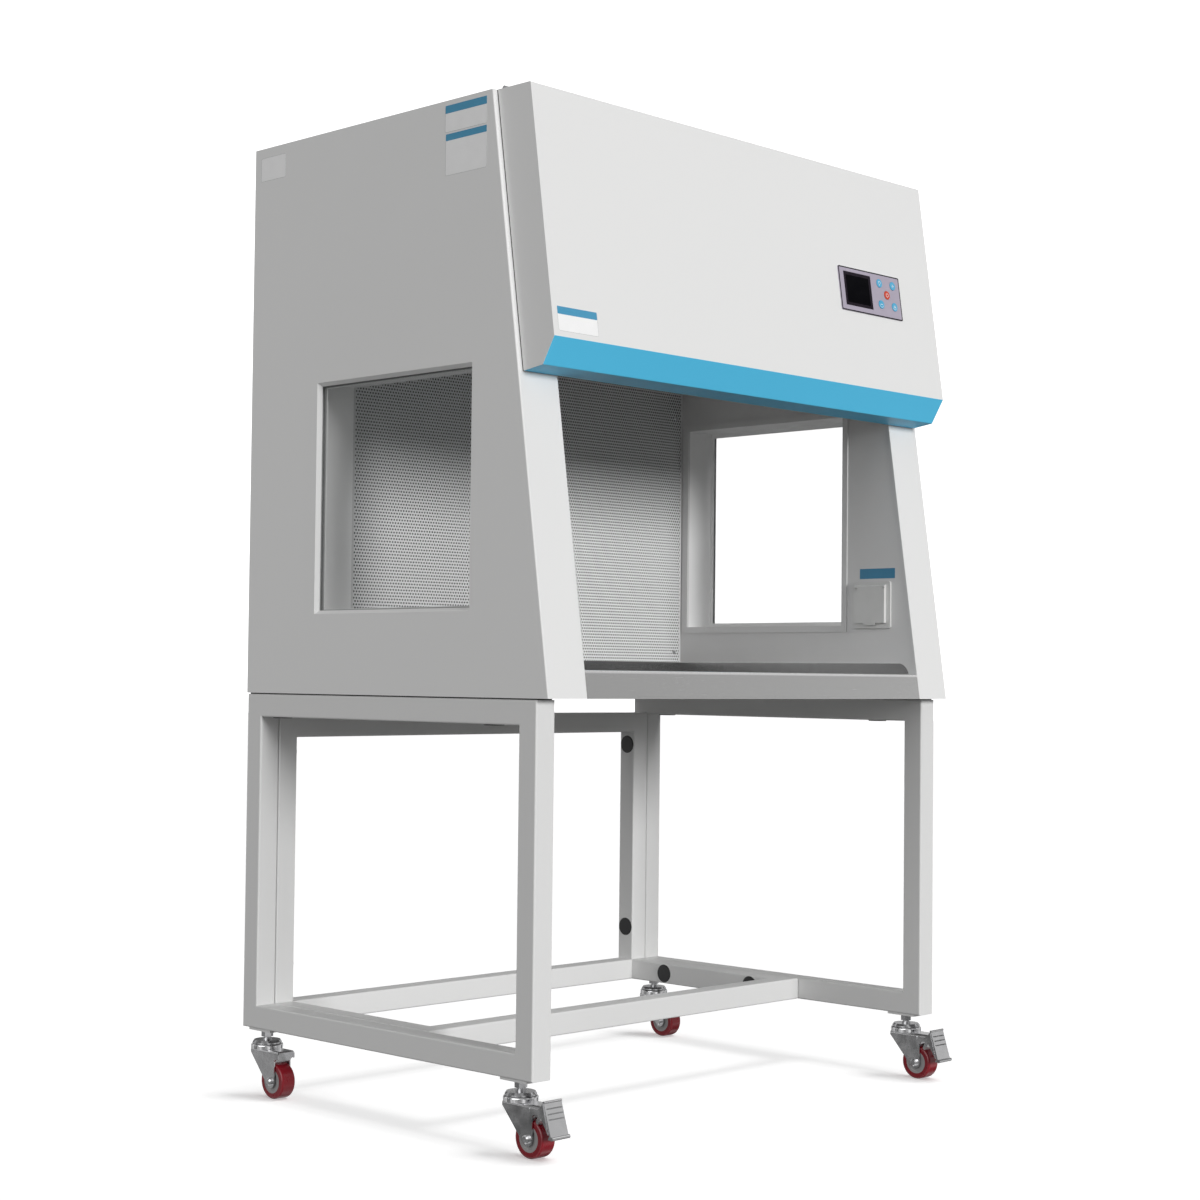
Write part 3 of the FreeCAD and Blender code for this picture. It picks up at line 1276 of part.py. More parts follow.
def socket():
    plate = new_body("socket_plate")
    half = "(socket_size / 2)"
    face = f"({SOCKET_X} - socket_plate)"
    pad(plate, "side", face, "socket_plate",
        box(at(f"socket_depth + {half}"), f"{SOCKET_Z} - {half}",
            at(f"socket_depth - {half}"), f"{SOCKET_Z} + {half}"))
    round_edges(plate, "socket_plate", along(0, *[
        (at(f"socket_depth + {a} * {half}"), f"{SOCKET_Z} + {b} * {half}")
        for a in (-1, 1) for b in (-1, 1)]))
    hinge_z = COVER_HINGE_Z
    for _, side in SIDES:
        low = f"cover_width / 2 - 4 * cover_pin" if side > 0 else "-cover_width / 2"
        pad(plate, "front", at(f"socket_depth + {low}"), "4 * cover_pin",
            outline((face, f"{hinge_z} + 2 * cover_pin"),
                    (COVER_HINGE_X, f"{hinge_z} + 2 * cover_pin", "2 * cover_pin"),
                    (COVER_HINGE_X, f"{hinge_z} - 2 * cover_pin"),
                    (face, f"{hinge_z} - 2 * cover_pin")))
    cut(plate, "front", at("socket_depth - cover_width / 2"), "cover_width",
        circle(COVER_HINGE_X, hinge_z, "cover_pin + pin_play"))
    keep("socket_plate", plate)

    insert = new_body("socket_insert")
    boss = "(socket_face / 2)"
    proud = "(cover_thick / 2)"
    pad(insert, "side", f"{face} - {proud}", proud,
        box(at(f"socket_depth + {boss}"), f"{SOCKET_Z} - {boss}",
            at(f"socket_depth - {boss}"), f"{SOCKET_Z} + {boss}"))
    slot = "(socket_face / 20)"
    for side in (-1, 1):
        cut(insert, "side", f"{face} - {proud}", f"{proud} / 2",
            box(at(f"socket_depth + {side} * socket_face / 7 + {slot}"), SOCKET_Z,
                at(f"socket_depth + {side} * socket_face / 7 - {slot}"), f"{SOCKET_Z} + socket_face / 5"))
    cut(insert, "side", f"{face} - {proud}", f"{proud} / 2",
        circle(at("socket_depth"), f"{SOCKET_Z} - socket_face / 6", "socket_face / 18"))
    keep("socket_insert", insert)

    cover = new_body("socket_cover")
    outer = f"({face} - cover_thick)"
    left = at("socket_depth + cover_width / 2")
    right = at("socket_depth - cover_width / 2")
    low = f"({SOCKET_Z} - cover_tall / 2)"
    high = f"({COVER_HINGE_Z} - 2 * cover_pin - seam)"
    pad(cover, "side", outer, "cover_thick - seam", outline(
        (left, low), (left, high), (f"{right} - cover_notch", high), (right, f"{high} - cover_notch"),
        (right, low), (at("socket_depth - tab_width / 2"), low),
        (at("socket_depth - tab_width / 2"), f"{low} - tab_drop"),
        (at("socket_depth + tab_width / 2"), f"{low} - tab_drop"),
        (at("socket_depth + tab_width / 2"), low)))
    cut(cover, "side", f"{outer} + cover_wall", "cover_thick - seam - cover_wall",
        outline((f"{left} + cover_wall", f"{low} + cover_wall"),
                (f"{left} + cover_wall", f"{high} - cover_wall"),
                (f"{right} - cover_notch - cover_wall / 2", f"{high} - cover_wall"),
                (f"{right} - cover_wall", f"{high} - cover_notch - cover_wall / 2"),
                (f"{right} - cover_wall", f"{low} + cover_wall")))
    bar = "(cover_width - 8 * cover_pin - 2 * seam)"
    pad(cover, "front", at(f"socket_depth - {bar} / 2"), bar, outline(
        (f"{COVER_HINGE_X} + 2 * cover_pin", COVER_HINGE_Z, "2 * cover_pin"),
        (f"{COVER_HINGE_X} - 2 * cover_pin", COVER_HINGE_Z),
        (f"{COVER_HINGE_X} - 2 * cover_pin", f"{high} - cover_wall"),
        (f"{COVER_HINGE_X} + 2 * cover_pin", f"{high} - cover_wall")))
    pad(cover, "front", at("socket_depth - cover_width / 2 + seam"), "cover_width - 2 * seam",
        circle(COVER_HINGE_X, COVER_HINGE_Z, "cover_pin"))
    keep("socket_cover", cover)


COVER_HINGE_X = f"({SOCKET_X} - socket_plate - cover_thick / 2)"
COVER_HINGE_Z = f"({SOCKET_Z} + cover_tall / 2)"


def power_inlet():
    """A mains inlet let into the rear cover: flange, body, recess and three pins."""
    body = new_body("power_inlet")
    deep = "(inlet_body - inlet_flange)"
    half, tall = "inlet_width / 2", "inlet_tall / 2"
    pad(body, "front", at("-inlet_flange"), "inlet_flange",
        box(f"{INLET_X} - {half}", f"{INLET_Z} - {tall}", f"{INLET_X} + {half}", f"{INLET_Z} + {tall}"))
    half, tall = "inlet_body / 2", "inlet_tall / 3"
    pad(body, "front", at("0"), deep,
        box(f"{INLET_X} - {half}", f"{INLET_Z} - {tall}", f"{INLET_X} + {half}", f"{INLET_Z} + {tall}"))
    wall = "inlet_flange"
    cut(body, "front", at("-inlet_flange"), f"{deep} - inlet_flange",
        box(f"{INLET_X} - {half} + {wall}", f"{INLET_Z} - {tall} + {wall}",
            f"{INLET_X} + {half} - {wall}", f"{INLET_Z} + {tall} - {wall}"))
    for step, drop in (("-1", "1"), ("0", "-1"), ("1", "1")):
        x = f"({INLET_X} + {step} * pin_pitch)"
        z = f"({INLET_Z} + {drop} * pin_pitch / 4)"
        pad(body, "front", at("inlet_flange"), f"{deep} - 2 * inlet_flange",
            box(f"{x} - pin_pitch / 6", f"{z} - pin_pitch / 4",
                f"{x} + pin_pitch / 6", f"{z} + pin_pitch / 4"))
    keep("power_inlet", body)


# Hood

HOOD_HALF = f"({HALF} - hood_inset)"
HOOD_BACK = "(seal + seam)"
BAND_LOW = f"({BASE} + hood_band_low)"
BAND_HIGH = f"({BASE} + hood_band_high)"
HOOD_LOW = f"({BASE} + hood_bottom)"
HINGE_Z = f"({TOP} + knuckle + hinge_clear)"
HINGE_DEPTH = "(top_depth + hinge_forward)"


def hood_outline(thin):
    """The hood's side outline, thinned all round; it opens at the back."""
    back = f"({HOOD_BACK})" if thin == "0" else "(-sheet)"
    run = f"(hood_run - {thin})"
    return outline(
        (at(f"{front_depth(TOP)} + {back}"), f"{TOP} - {thin}"),
        (at(f"{front_depth(TOP)} + {run}"), f"{TOP} - {thin}"),
        (at(f"{front_depth(BAND_HIGH)} + {run}"), f"{BAND_HIGH}"),
        (at(f"{front_depth(BAND_HIGH)} + {run} - band_setback"), f"{BAND_LOW} + {thin}"),
        (at(f"{front_depth(HOOD_LOW)} + {back}"), f"{HOOD_LOW} + {thin}"))


def hood_shell():
    body = new_body("hood_shell")
    pad(body, "side", f"-{HOOD_HALF}", f"2 * {HOOD_HALF}", hood_outline("0"))
    run = "hood_run"
    round_edges(body, "corner_radius * 2", along(
        0, (at(f"{front_depth(TOP)} + {run}"), TOP),
        (at(f"{front_depth(BAND_HIGH)} + {run}"), BAND_HIGH),
        (at(f"{front_depth(BAND_HIGH)} + {run} - band_setback"), BAND_LOW)))
    inside = f"({HOOD_HALF} - sheet)"
    cut(body, "side", f"-{inside}", f"2 * {inside}", hood_outline("sheet"))
    opening_x = "(panel_width / 2 - panel_overlap)"
    opening_z = "(panel_tall / 2 - panel_overlap)"
    level = f"({BASE} + panel_level)"
    cut(body, "front", at(f"{front_depth(level)} + hood_run / 2"), "hood_run",
        box(f"panel_x - {opening_x}", f"{level} - {opening_z}",
            f"panel_x + {opening_x}", f"{level} + {opening_z}"))
    keep("hood_shell", body)


def hood_seal():
    body = new_body("hood_seal")
    high = f"({TOP} - hinge_clear)"
    low = f"({HOOD_LOW} + 2 * seam)"
    pad(body, "side", f"-{HOOD_HALF} + seam", f"2 * ({HOOD_HALF} - seam)",
        leaning_strip(low, high, "seam / 2", "seal"))
    inner = f"({HOOD_HALF} - seal_width)"
    cut(body, "front", at("top_depth - seal_width"), "base_depth - top_depth + 2 * seal_width",
        box(f"-{inner}", f"{low} + seal_width / 2", inner, f"{high} - seal_width"))
    keep("hood_seal", body)


def hinge_knuckle(body, start, length):
    pad(body, "side", start, length, circle(at(HINGE_DEPTH), HINGE_Z, "knuckle"))


def hood_hinges():
    """Three butt hinges: fixed leaves with pins, and leaves that lift with the hood."""
    fixed = []
    moving = []
    third = "(hinge_length / 3)"
    for index, centre in enumerate(("-hinge_spacing", "0", "hinge_spacing"), start=1):
        base = new_body(f"hinge_{index}_base")
        left = f"({centre} - hinge_length / 2)"
        clear = "(knuckle + hinge_clear)"
        pad(base, "top", TOP, "sheet", outline(
            (left, at("top_depth - hinge_leaf")), (f"{left} + hinge_length", at("top_depth - hinge_leaf")),
            (f"{left} + hinge_length", at(HINGE_DEPTH)), (f"{left} + 2 * {third} + seam", at(HINGE_DEPTH)),
            (f"{left} + 2 * {third} + seam", at(f"{HINGE_DEPTH} - {clear}")),
            (f"{left} + {third} - seam", at(f"{HINGE_DEPTH} - {clear}")),
            (f"{left} + {third} - seam", at(HINGE_DEPTH)), (left, at(HINGE_DEPTH))))
        hinge_knuckle(base, left, f"{third} - seam")
        hinge_knuckle(base, f"{left} + 2 * {third} + seam", f"{third} - seam")
        pad(base, "side", left, "hinge_length", circle(at(HINGE_DEPTH), HINGE_Z, "hinge_pin"))
        fixed.append(base)
        flap = new_body(f"hinge_{index}_flap")
        ahead = f"({HINGE_DEPTH} + hinge_leaf)"
        pad(flap, "top", TOP, "sheet", outline(
            (left, at(f"{HINGE_DEPTH} + {clear}")), (f"{left} + {third}", at(f"{HINGE_DEPTH} + {clear}")),
            (f"{left} + {third}", at(HINGE_DEPTH)), (f"{left} + 2 * {third}", at(HINGE_DEPTH)),
            (f"{left} + 2 * {third}", at(f"{HINGE_DEPTH} + {clear}")),
            (f"{left} + hinge_length", at(f"{HINGE_DEPTH} + {clear}")),
            (f"{left} + hinge_length", at(ahead)), (left, at(ahead))))
        hinge_knuckle(flap, f"{left} + {third}", third)
        cut(flap, "side", f"{left} + {third}", third,
            circle(at(HINGE_DEPTH), HINGE_Z, "hinge_pin + pin_play"))
        moving.append(flap)
    keep("hood_hinge_bases", *fixed)
    keep("hood_hinge_flaps", *moving)


# Control panel, drawn flat and laid on the leaning hood

BUTTONS = {
    "button_power": ("0", "0"),
    "button_light": ("-1", "1"),
    "button_uv": ("1", "1"),
    "button_slower": ("-1", "-1"),
    "button_faster": ("1", "-1"),
}


def lay_on_hood(body):
    """Stands a body drawn flat, face up, upright on the hood's leaning front."""
    level = f"({BASE} + panel_level)"
    body.Placement = Placement(Vector(), Rotation(Vector(1, 0, 0), 80))
    bind(body, "Placement.Rotation.Angle", f"90 deg - atan({LEAN})")
    place(body, "panel_x", at(f"{front_depth(level)} + hood_run"), level)


def control_panel():
    bezel = new_body("control_bezel")
    spots = [(f"(button_x + ({a}) * button_step)", f"(button_y + ({b}) * button_step)")
             for a, b in BUTTONS.values()]
    half_w, half_t = "(display_width / 2 + seam)", "(display_tall / 2 + seam)"
    pad(bezel, "top", "0", "panel_thick",
        box("-panel_width / 2", "-panel_tall / 2", "panel_width / 2", "panel_tall / 2"),
        box(f"display_x - {half_w}", f"display_y - {half_t}",
            f"display_x + {half_w}", f"display_y + {half_t}"),
        *[circle(x, y, "button_radius + button_play") for x, y in spots])
    posts = [(f"{a} * (panel_width / 2 - panel_frame)", f"{b} * (panel_tall / 2 - panel_frame)")
             for a in (-1, 1) for b in (-1, 1)]
    pad(bezel, "top", "-board_gap + seam", "board_gap", *[circle(x, y, "post_radius") for x, y in posts])
    round_edges(bezel, "post_radius", along(2, *[
        (f"{a} * panel_width / 2", f"{b} * panel_tall / 2") for a in (-1, 1) for b in (-1, 1)]))
    lay_on_hood(bezel)
    keep("control_bezel", bezel)

    display = new_body("display")
    pad(display, "top", "panel_thick - display_thick", "display_thick - seam",
        box("display_x - display_width / 2", "display_y - display_tall / 2",
            "display_x + display_width / 2", "display_y + display_tall / 2"))
    round_edges(display, "post_radius", along(2, *[
        (f"display_x + {a} * display_width / 2", f"display_y + {b} * display_tall / 2")
        for a in (-1, 1) for b in (-1, 1)]))
    lay_on_hood(display)
    keep("display", display)

    board = new_body("control_board")
    width, tall = "(panel_width / 2 - panel_overlap - 2)", "(panel_tall / 2 - panel_overlap - 2)"
    pad(board, "top", "-board_gap - board_thick", "board_thick",
        box(f"-{width}", f"-{tall}", width, tall))
    stand = "(display_width / 3)"
    pad(board, "top", "-board_gap", "board_gap + panel_thick - display_thick - seam",
        box(f"display_x - {stand}", f"display_y - display_tall / 3",
            f"display_x + {stand}", f"display_y + display_tall / 3"))
    lay_on_hood(board)
    keep("control_board", board)

    for (label, _), (x, y) in zip(BUTTONS.items(), spots):
        button = new_body(label)
        flange = "(-seam - board_thick / 2)"
        plunger = "(-board_gap + button_travel + seam)"
        pad(button, "top", flange, f"panel_thick + button_proud - {flange}", circle(x, y, "button_radius"))
        round_edges(button, "button_proud / 2", lambda e: near(
            e.BoundBox.ZMin, number("panel_thick + button_proud")) and e.BoundBox.ZLength < 0.01)
        pad(button, "top", flange, "board_thick / 2", circle(x, y, "button_radius + post_radius / 2"))
        pad(button, "top", plunger, f"{flange} - {plunger}", circle(x, y, "post_radius"))
        lay_on_hood(button)
        keep(label, button)


for stand_name, stand_side in SIDES:
    side_frame(f"{stand_name}_side_frame", stand_side)
    side_panel(stand_name, stand_side)
    inner_wall(stand_name, stand_side)
cross_frame()
frame_fasteners()
cabinet_pads()
casters()
windows()
rear_cover()
top_cover()
intake()
base_panel()
fan_deck()
work_surface()
diffuser()
panel_screws()
hepa_filter()
blower()
lamps()
socket()
power_inlet()
hood_shell()
hood_seal()
hood_hinges()
control_panel()
doc.recompute()

faults = [o.Label for o in doc.Objects if {"Invalid", "Error"} & set(o.State)]
for feature in doc.Objects:
    if feature.TypeId == "PartDesign::Pocket" and feature.Label not in faults:
        if feature.BaseFeature.Shape.Volume - feature.Shape.Volume < 0.01:
            faults.append(feature.Label + " cuts nothing")
for label, item in parts.items():
    if item.Shape.isNull() or not item.Shape.isValid():
        faults.append(label + " has no valid shape")
if faults:
    raise RuntimeError("faulty: " + ", ".join(faults))
if len(parts) > 60:
    raise RuntimeError("too many sub-parts")

os.makedirs("parts", exist_ok=True)
for label, item in parts.items():
    item.Shape.exportStep(f"parts/{label}.step")
print(len(parts), "sub-parts")
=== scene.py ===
"""Looks of the horizontal laminar flow cabinet: materials, perforations, panel graphics, studio."""
import json
import math

import bpy
from mathutils import Matrix, Vector

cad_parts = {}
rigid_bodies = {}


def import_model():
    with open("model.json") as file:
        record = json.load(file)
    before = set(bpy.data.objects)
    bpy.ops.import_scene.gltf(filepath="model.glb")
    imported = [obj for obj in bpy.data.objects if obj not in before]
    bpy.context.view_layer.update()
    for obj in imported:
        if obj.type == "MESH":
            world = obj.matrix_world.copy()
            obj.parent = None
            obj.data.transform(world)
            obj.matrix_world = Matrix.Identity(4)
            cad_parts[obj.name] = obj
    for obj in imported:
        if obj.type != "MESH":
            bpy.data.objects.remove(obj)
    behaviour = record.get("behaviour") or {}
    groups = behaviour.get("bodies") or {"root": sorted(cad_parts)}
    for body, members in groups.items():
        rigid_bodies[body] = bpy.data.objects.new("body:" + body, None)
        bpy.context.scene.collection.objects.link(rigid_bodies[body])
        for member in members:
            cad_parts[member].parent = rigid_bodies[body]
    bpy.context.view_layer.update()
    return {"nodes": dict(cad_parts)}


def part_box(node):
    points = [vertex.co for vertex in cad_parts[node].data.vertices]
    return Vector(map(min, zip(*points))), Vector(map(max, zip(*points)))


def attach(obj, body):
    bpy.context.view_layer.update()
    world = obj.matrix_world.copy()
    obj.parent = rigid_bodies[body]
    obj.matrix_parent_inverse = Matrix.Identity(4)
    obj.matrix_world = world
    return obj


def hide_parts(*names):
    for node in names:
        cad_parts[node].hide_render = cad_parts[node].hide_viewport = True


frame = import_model()
nodes = frame["nodes"]
scene = bpy.context.scene

MM = 0.001
# In millimetres. The cabinet's front leans back, and depths run forward from its rear face.
REAR = 390.5
BASE = 706
TOP = 1674
TOP_DEPTH = 623
LEAN = 142 / (TOP - BASE)
HOOD_RUN = 77
SIDE_X = 520


# Materials

# sockets of the Mix node in its colour mode, where several share a name
MIX_FACTOR, MIX_FIRST, MIX_SECOND, MIX_RESULT = 0, 6, 7, 2


class Material:
    """A Principled material whose colour, roughness and bump come from procedural nodes."""

    def __init__(self, name, colour, roughness, metallic=0.0, **uniform):
        self.name = name
        self.colour = colour
        self.material = bpy.data.materials.new(name)
        self.material.use_nodes = True
        self.tree = self.material.node_tree
        self.shader = self.tree.nodes["Principled BSDF"]
        self.shader.inputs["Base Color"].default_value = (*colour, 1)
        self.shader.inputs["Roughness"].default_value = roughness
        self.shader.inputs["Metallic"].default_value = metallic
        for socket, value in uniform.items():
            self.shader.inputs[socket.replace("_", " ")].default_value = value
        self.place = self.node("ShaderNodeTexCoord").outputs["Object"]
        self.painted = None

    def node(self, kind, **settings):
        made = self.tree.nodes.new(kind)
        for name, value in settings.items():
            setattr(made, name, value)
        return made

    def link(self, out, into):
        self.tree.links.new(out, into)

    def noise(self, scale, detail, rough=0.5, stretch=(1, 1, 1)):
        mapping = self.node("ShaderNodeMapping")
        mapping.inputs["Scale"].default_value = stretch
        self.link(self.place, mapping.inputs["Vector"])
        noise = self.node("ShaderNodeTexNoise")
        noise.inputs["Scale"].default_value = scale
        noise.inputs["Detail"].default_value = detail
        noise.inputs["Roughness"].default_value = rough
        self.link(mapping.outputs["Vector"], noise.inputs["Vector"])
        return noise.outputs["Fac"]

    def coordinate(self, axis):
        parts = self.node("ShaderNodeSeparateXYZ")
        self.link(self.place, parts.inputs["Vector"])
        return parts.outputs[axis]

    def spread(self, value, low, high, start=0.3, end=0.7):
        """Maps the stretch of a value from start to end onto low to high."""
        ranged = self.node("ShaderNodeMapRange")
        for socket, number in zip(("From Min", "From Max", "To Min", "To Max"),
                                  (start, end, low, high)):
            ranged.inputs[socket].default_value = number
        self.link(value, ranged.inputs["Value"])
        return ranged.outputs["Result"]

    def calculate(self, operation, value, other=0.0):
        """A value compared or combined with a number or with another value."""
        math_node = self.node("ShaderNodeMath", operation=operation)
        self.link(value, math_node.inputs[0])
        if isinstance(other, (int, float)):
            math_node.inputs[1].default_value = other
        else:
            self.link(other, math_node.inputs[1])
        return math_node.outputs[0]

    def mix(self, factor, first, second):
        """Blends two colours, each a tuple or a socket."""
        mixed = self.node("ShaderNodeMix", data_type="RGBA")
        self.link(factor, mixed.inputs[MIX_FACTOR])
        for socket, colour in ((MIX_FIRST, first), (MIX_SECOND, second)):
            if isinstance(colour, tuple):
                mixed.inputs[socket].default_value = (*colour, 1)
            else:
                self.link(colour, mixed.inputs[socket])
        return mixed.outputs[MIX_RESULT]

    def varied(self, value, colour, spread):
        """A colour that goes with a value from a little darker to a little lighter."""
        dark = tuple(c * (1 - spread) for c in colour)
        light = tuple(min(1, c * (1 + spread)) for c in colour)
        return self.mix(value, dark, light)

    def paint(self, colour):
        self.link(colour, self.shader.inputs["Base Color"])
        self.painted = colour

    def tint(self, value, spread):
        self.paint(self.varied(value, self.colour, spread))

    def gloss(self, value, low, high):
        self.link(self.spread(value, low, high), self.shader.inputs["Roughness"])

    def bump(self, value, distance, strength):
        bump = self.node("ShaderNodeBump")
        bump.inputs["Strength"].default_value = strength
        bump.inputs["Distance"].default_value = distance
        self.link(value, bump.inputs["Height"])
        self.link(bump.outputs["Normal"], self.shader.inputs["Normal"])


MOTTLE_SCALE = 2.2


def powder_coat(name, colour, roughness=0.42, mottle=0.012):
    """Stove enamel: a fine orange peel, and a very faint mottle."""
    m = Material(name, colour, roughness, Specular_IOR_Level=0.45)
    m.tint(m.noise(MOTTLE_SCALE, detail=3), mottle)
    m.gloss(m.noise(scale=7, detail=2), roughness - 0.04, roughness + 0.05)
    m.bump(m.noise(scale=850, detail=1.5), distance=0.00003, strength=0.5)
    return m


def brushed(name, colour, roughness):
    """Brushed sheet, its scratches upright."""
    m = Material(name, colour, roughness, metallic=1.0)
    streaks = m.noise(scale=9, detail=5, rough=0.75, stretch=(160, 160, 1.6))
    m.tint(streaks, 0.05)
    m.gloss(streaks, roughness - 0.05, roughness + 0.08)
    m.bump(streaks, distance=0.00002, strength=0.25)
    return m


def plated(name, colour, roughness, ripple=0.45):
    """Chrome or zinc plate on steel: bright, slightly rippled."""
    m = Material(name, colour, roughness, metallic=1.0)
    m.tint(m.noise(scale=60, detail=3), 0.06)
    m.gloss(m.noise(scale=45, detail=3), roughness - 0.04, roughness + 0.08)
    m.bump(m.noise(scale=110, detail=2), distance=0.00012, strength=ripple)
    return m


def moulded(name, colour, roughness, grain=1200, depth=0.00002, **uniform):
    """Plastic, rubber, card or casting with a fine grain."""
    m = Material(name, colour, roughness, **uniform)
    m.tint(m.noise(scale=35, detail=2), 0.05)
    m.gloss(m.noise(scale=50, detail=2), roughness - 0.05, roughness + 0.06)
    m.bump(m.noise(grain, detail=2), depth, strength=0.5)
    return m


def glass(name, colour, opacity):
    """Clear sheet. A slab of it is looked through twice, so the opacity counts twice."""
    m = Material(name, colour, 0.03, Alpha=opacity, Specular_IOR_Level=0.6)
    m.tint(m.noise(scale=4, detail=2), 0.03)
    m.gloss(m.noise(scale=12, detail=2), 0.02, 0.06)
    return m


def wall_paint(colour, reveal_painted_light):
    """Paint of the inner walls, with painted light: whiter in the deep reveals of the windows."""
    m = powder_coat("wall_paint", colour, 0.46)
    # a wall's sheet ends 5 mm beyond the face of its raised window frame
    sheet_back = 5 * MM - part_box("left_inner_wall")[1].x
    sideways = m.calculate("ABSOLUTE", m.coordinate("X"))
    # painted light: the window reveals are painted whiter than the walls
    m.paint(m.mix(m.calculate("GREATER_THAN", sideways, sheet_back), m.painted, reveal_painted_light))
    return m


def hood_paint(white, blue):
    """White paint, and the blue band over the hood's lower bevel and underside."""
    band_edge = BASE + 561
    inside_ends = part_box("hood_shell")[1].x - 0.6 * MM
    m = powder_coat("hood_paint", white, mottle=0.01)
    low_down = m.calculate("LESS_THAN", m.coordinate("Z"), band_edge * MM)
    sideways = m.calculate("ABSOLUTE", m.coordinate("X"))
    between = m.calculate("LESS_THAN", sideways, inside_ends)
    blues = m.varied(m.noise(MOTTLE_SCALE, detail=3), blue, 0.03)
    m.paint(m.mix(m.calculate("MULTIPLY", low_down, between), m.painted, blues))
    return m


def worktop(colour, left, right, painted_highlight):
    """Brushed steel with painted highlights along its edges, and polished upstands darkened with
    painted shade and reflection, darkest at the left.
    """
    low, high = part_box("work_surface")
    lip = high.z - 21 * MM
    m = Material("worktop", colour, 0.24, metallic=1.0)
    streaks = m.noise(scale=30, detail=4, rough=0.7, stretch=(1, 90, 90))
    height = m.coordinate("Z")
    # painted highlight: white bands along the lip's bend and along the upstand's top edge
    lip_highlight_band = m.spread(height, 0.0, 1.0, lip - 5.5 * MM, lip - 3.0 * MM)
    apron = m.mix(lip_highlight_band, colour, painted_highlight)
    # painted shade and reflection: the upstands go from near black at the left to grey at the right
    across = m.spread(m.coordinate("X"), 0.0, 1.0, low.x, high.x)
    top_highlight_band = m.spread(height, 0.0, 1.0, high.z - 1.2 * MM, high.z - 0.6 * MM)
    upstand = m.mix(top_highlight_band, m.mix(across, left, right), painted_highlight)
    m.paint(m.mix(m.calculate("GREATER_THAN", height, lip + 0.5 * MM), apron, upstand))
    m.gloss(streaks, 0.20, 0.28)
    m.bump(streaks, distance=0.000004, strength=0.3)
    return m


WHITE = (0.80, 0.80, 0.795)
# a darker copy of the cabinet's white paint: painted shade for the inside
SHADED_INNER_WHITE = (0.69, 0.688, 0.685)
BLUE = (0.100, 0.60, 0.92)
materials = {m.name: m.material for m in (
    powder_coat("cabinet_paint", WHITE),
    powder_coat("inner_paint", SHADED_INNER_WHITE, 0.46),
    # the whiter reveal colour is painted light
    wall_paint(SHADED_INNER_WHITE, reveal_painted_light=(0.95, 0.95, 0.945)),
    powder_coat("diffuser_paint", (0.77, 0.77, 0.77), 0.46),
    powder_coat("stand_paint", (0.74, 0.74, 0.735), 0.45),
    hood_paint(WHITE, BLUE),
    moulded("blue_strip", (0.055, 0.24, 0.40), 0.35),
    moulded("card", (0.93, 0.93, 0.93), 0.45, 400),
    moulded("card_blue", (0.07, 0.31, 0.50), 0.4, 400),
    moulded("card_line", (0.42, 0.42, 0.42), 0.5, 400),
    # the near-black and grey are the upstands' painted shade, and the white is the painted
    # highlight
    worktop((0.60, 0.60, 0.595), (0.07, 0.07, 0.07), (0.42, 0.42, 0.42), (1.0, 1.0, 1.0)),
    brushed("galvanised", (0.55, 0.57, 0.58), 0.42),
    plated("zinc", (0.62, 0.62, 0.63), 0.28),
    plated("chrome", (0.72, 0.72, 0.73), 0.13),
    plated("turned_chrome", (0.50, 0.50, 0.51), 0.20, ripple=0.15),
    brushed("aluminium", (0.72, 0.72, 0.73), 0.38),
    moulded("cast", (0.45, 0.45, 0.46), 0.5, 500, 0.0001, Metallic=1.0),
    moulded("rubber", (0.018, 0.018, 0.02), 0.6, 700, 0.00004),
    moulded("gasket", (0.42, 0.42, 0.42), 0.5, 700, 0.00004),
    moulded("seal", (0.05, 0.05, 0.05), 0.65, 700, 0.00004),
    moulded("black_plastic", (0.012, 0.012, 0.013), 0.45),
    moulded("impeller", (0.03, 0.03, 0.034), 0.5),
    moulded("socket", (0.66, 0.66, 0.65), 0.35),
    moulded("tread", (0.23, 0.004, 0.012), 0.28, 300, 0.00003, Coat_Weight=0.2),
    moulded("hub", (0.34, 0.33, 0.33), 0.45),
    moulded("bezel", (0.42, 0.38, 0.46), 0.35),
    moulded("ink", (0.006, 0.005, 0.007), 0.4, Specular_IOR_Level=0.15),
    moulded("screen", (0.003, 0.003, 0.004), 0.1, 300, 0.000005, Specular_IOR_Level=0.06),
    moulded("screen_rim", (0.010, 0.006, 0.012), 0.3, Specular_IOR_Level=0.15),
    moulded("red_key", (0.62, 0.06, 0.025), 0.3),
    moulded("blue_key", (0.09, 0.42, 0.66), 0.3),
    moulded("key_mark", (0.86, 0.88, 0.90), 0.35),
    moulded("board", (0.02, 0.13, 0.05), 0.4),
    # painted shade: near black, standing in for the shaded filter media behind the holes
    moulded("scrim", (0.022, 0.022, 0.023), 0.9, 900, 0.0002),
    moulded("paper", (0.74, 0.74, 0.71), 0.8, 260, 0.0001),
    moulded("foam", (0.22, 0.23, 0.24), 0.9, 420, 0.0012),
    moulded("lamp", (0.86, 0.87, 0.88), 0.3),
    glass("pane", (0.22, 0.24, 0.24), 0.13),
    glass("uv_glass", (0.85, 0.90, 0.95), 0.35),
)}

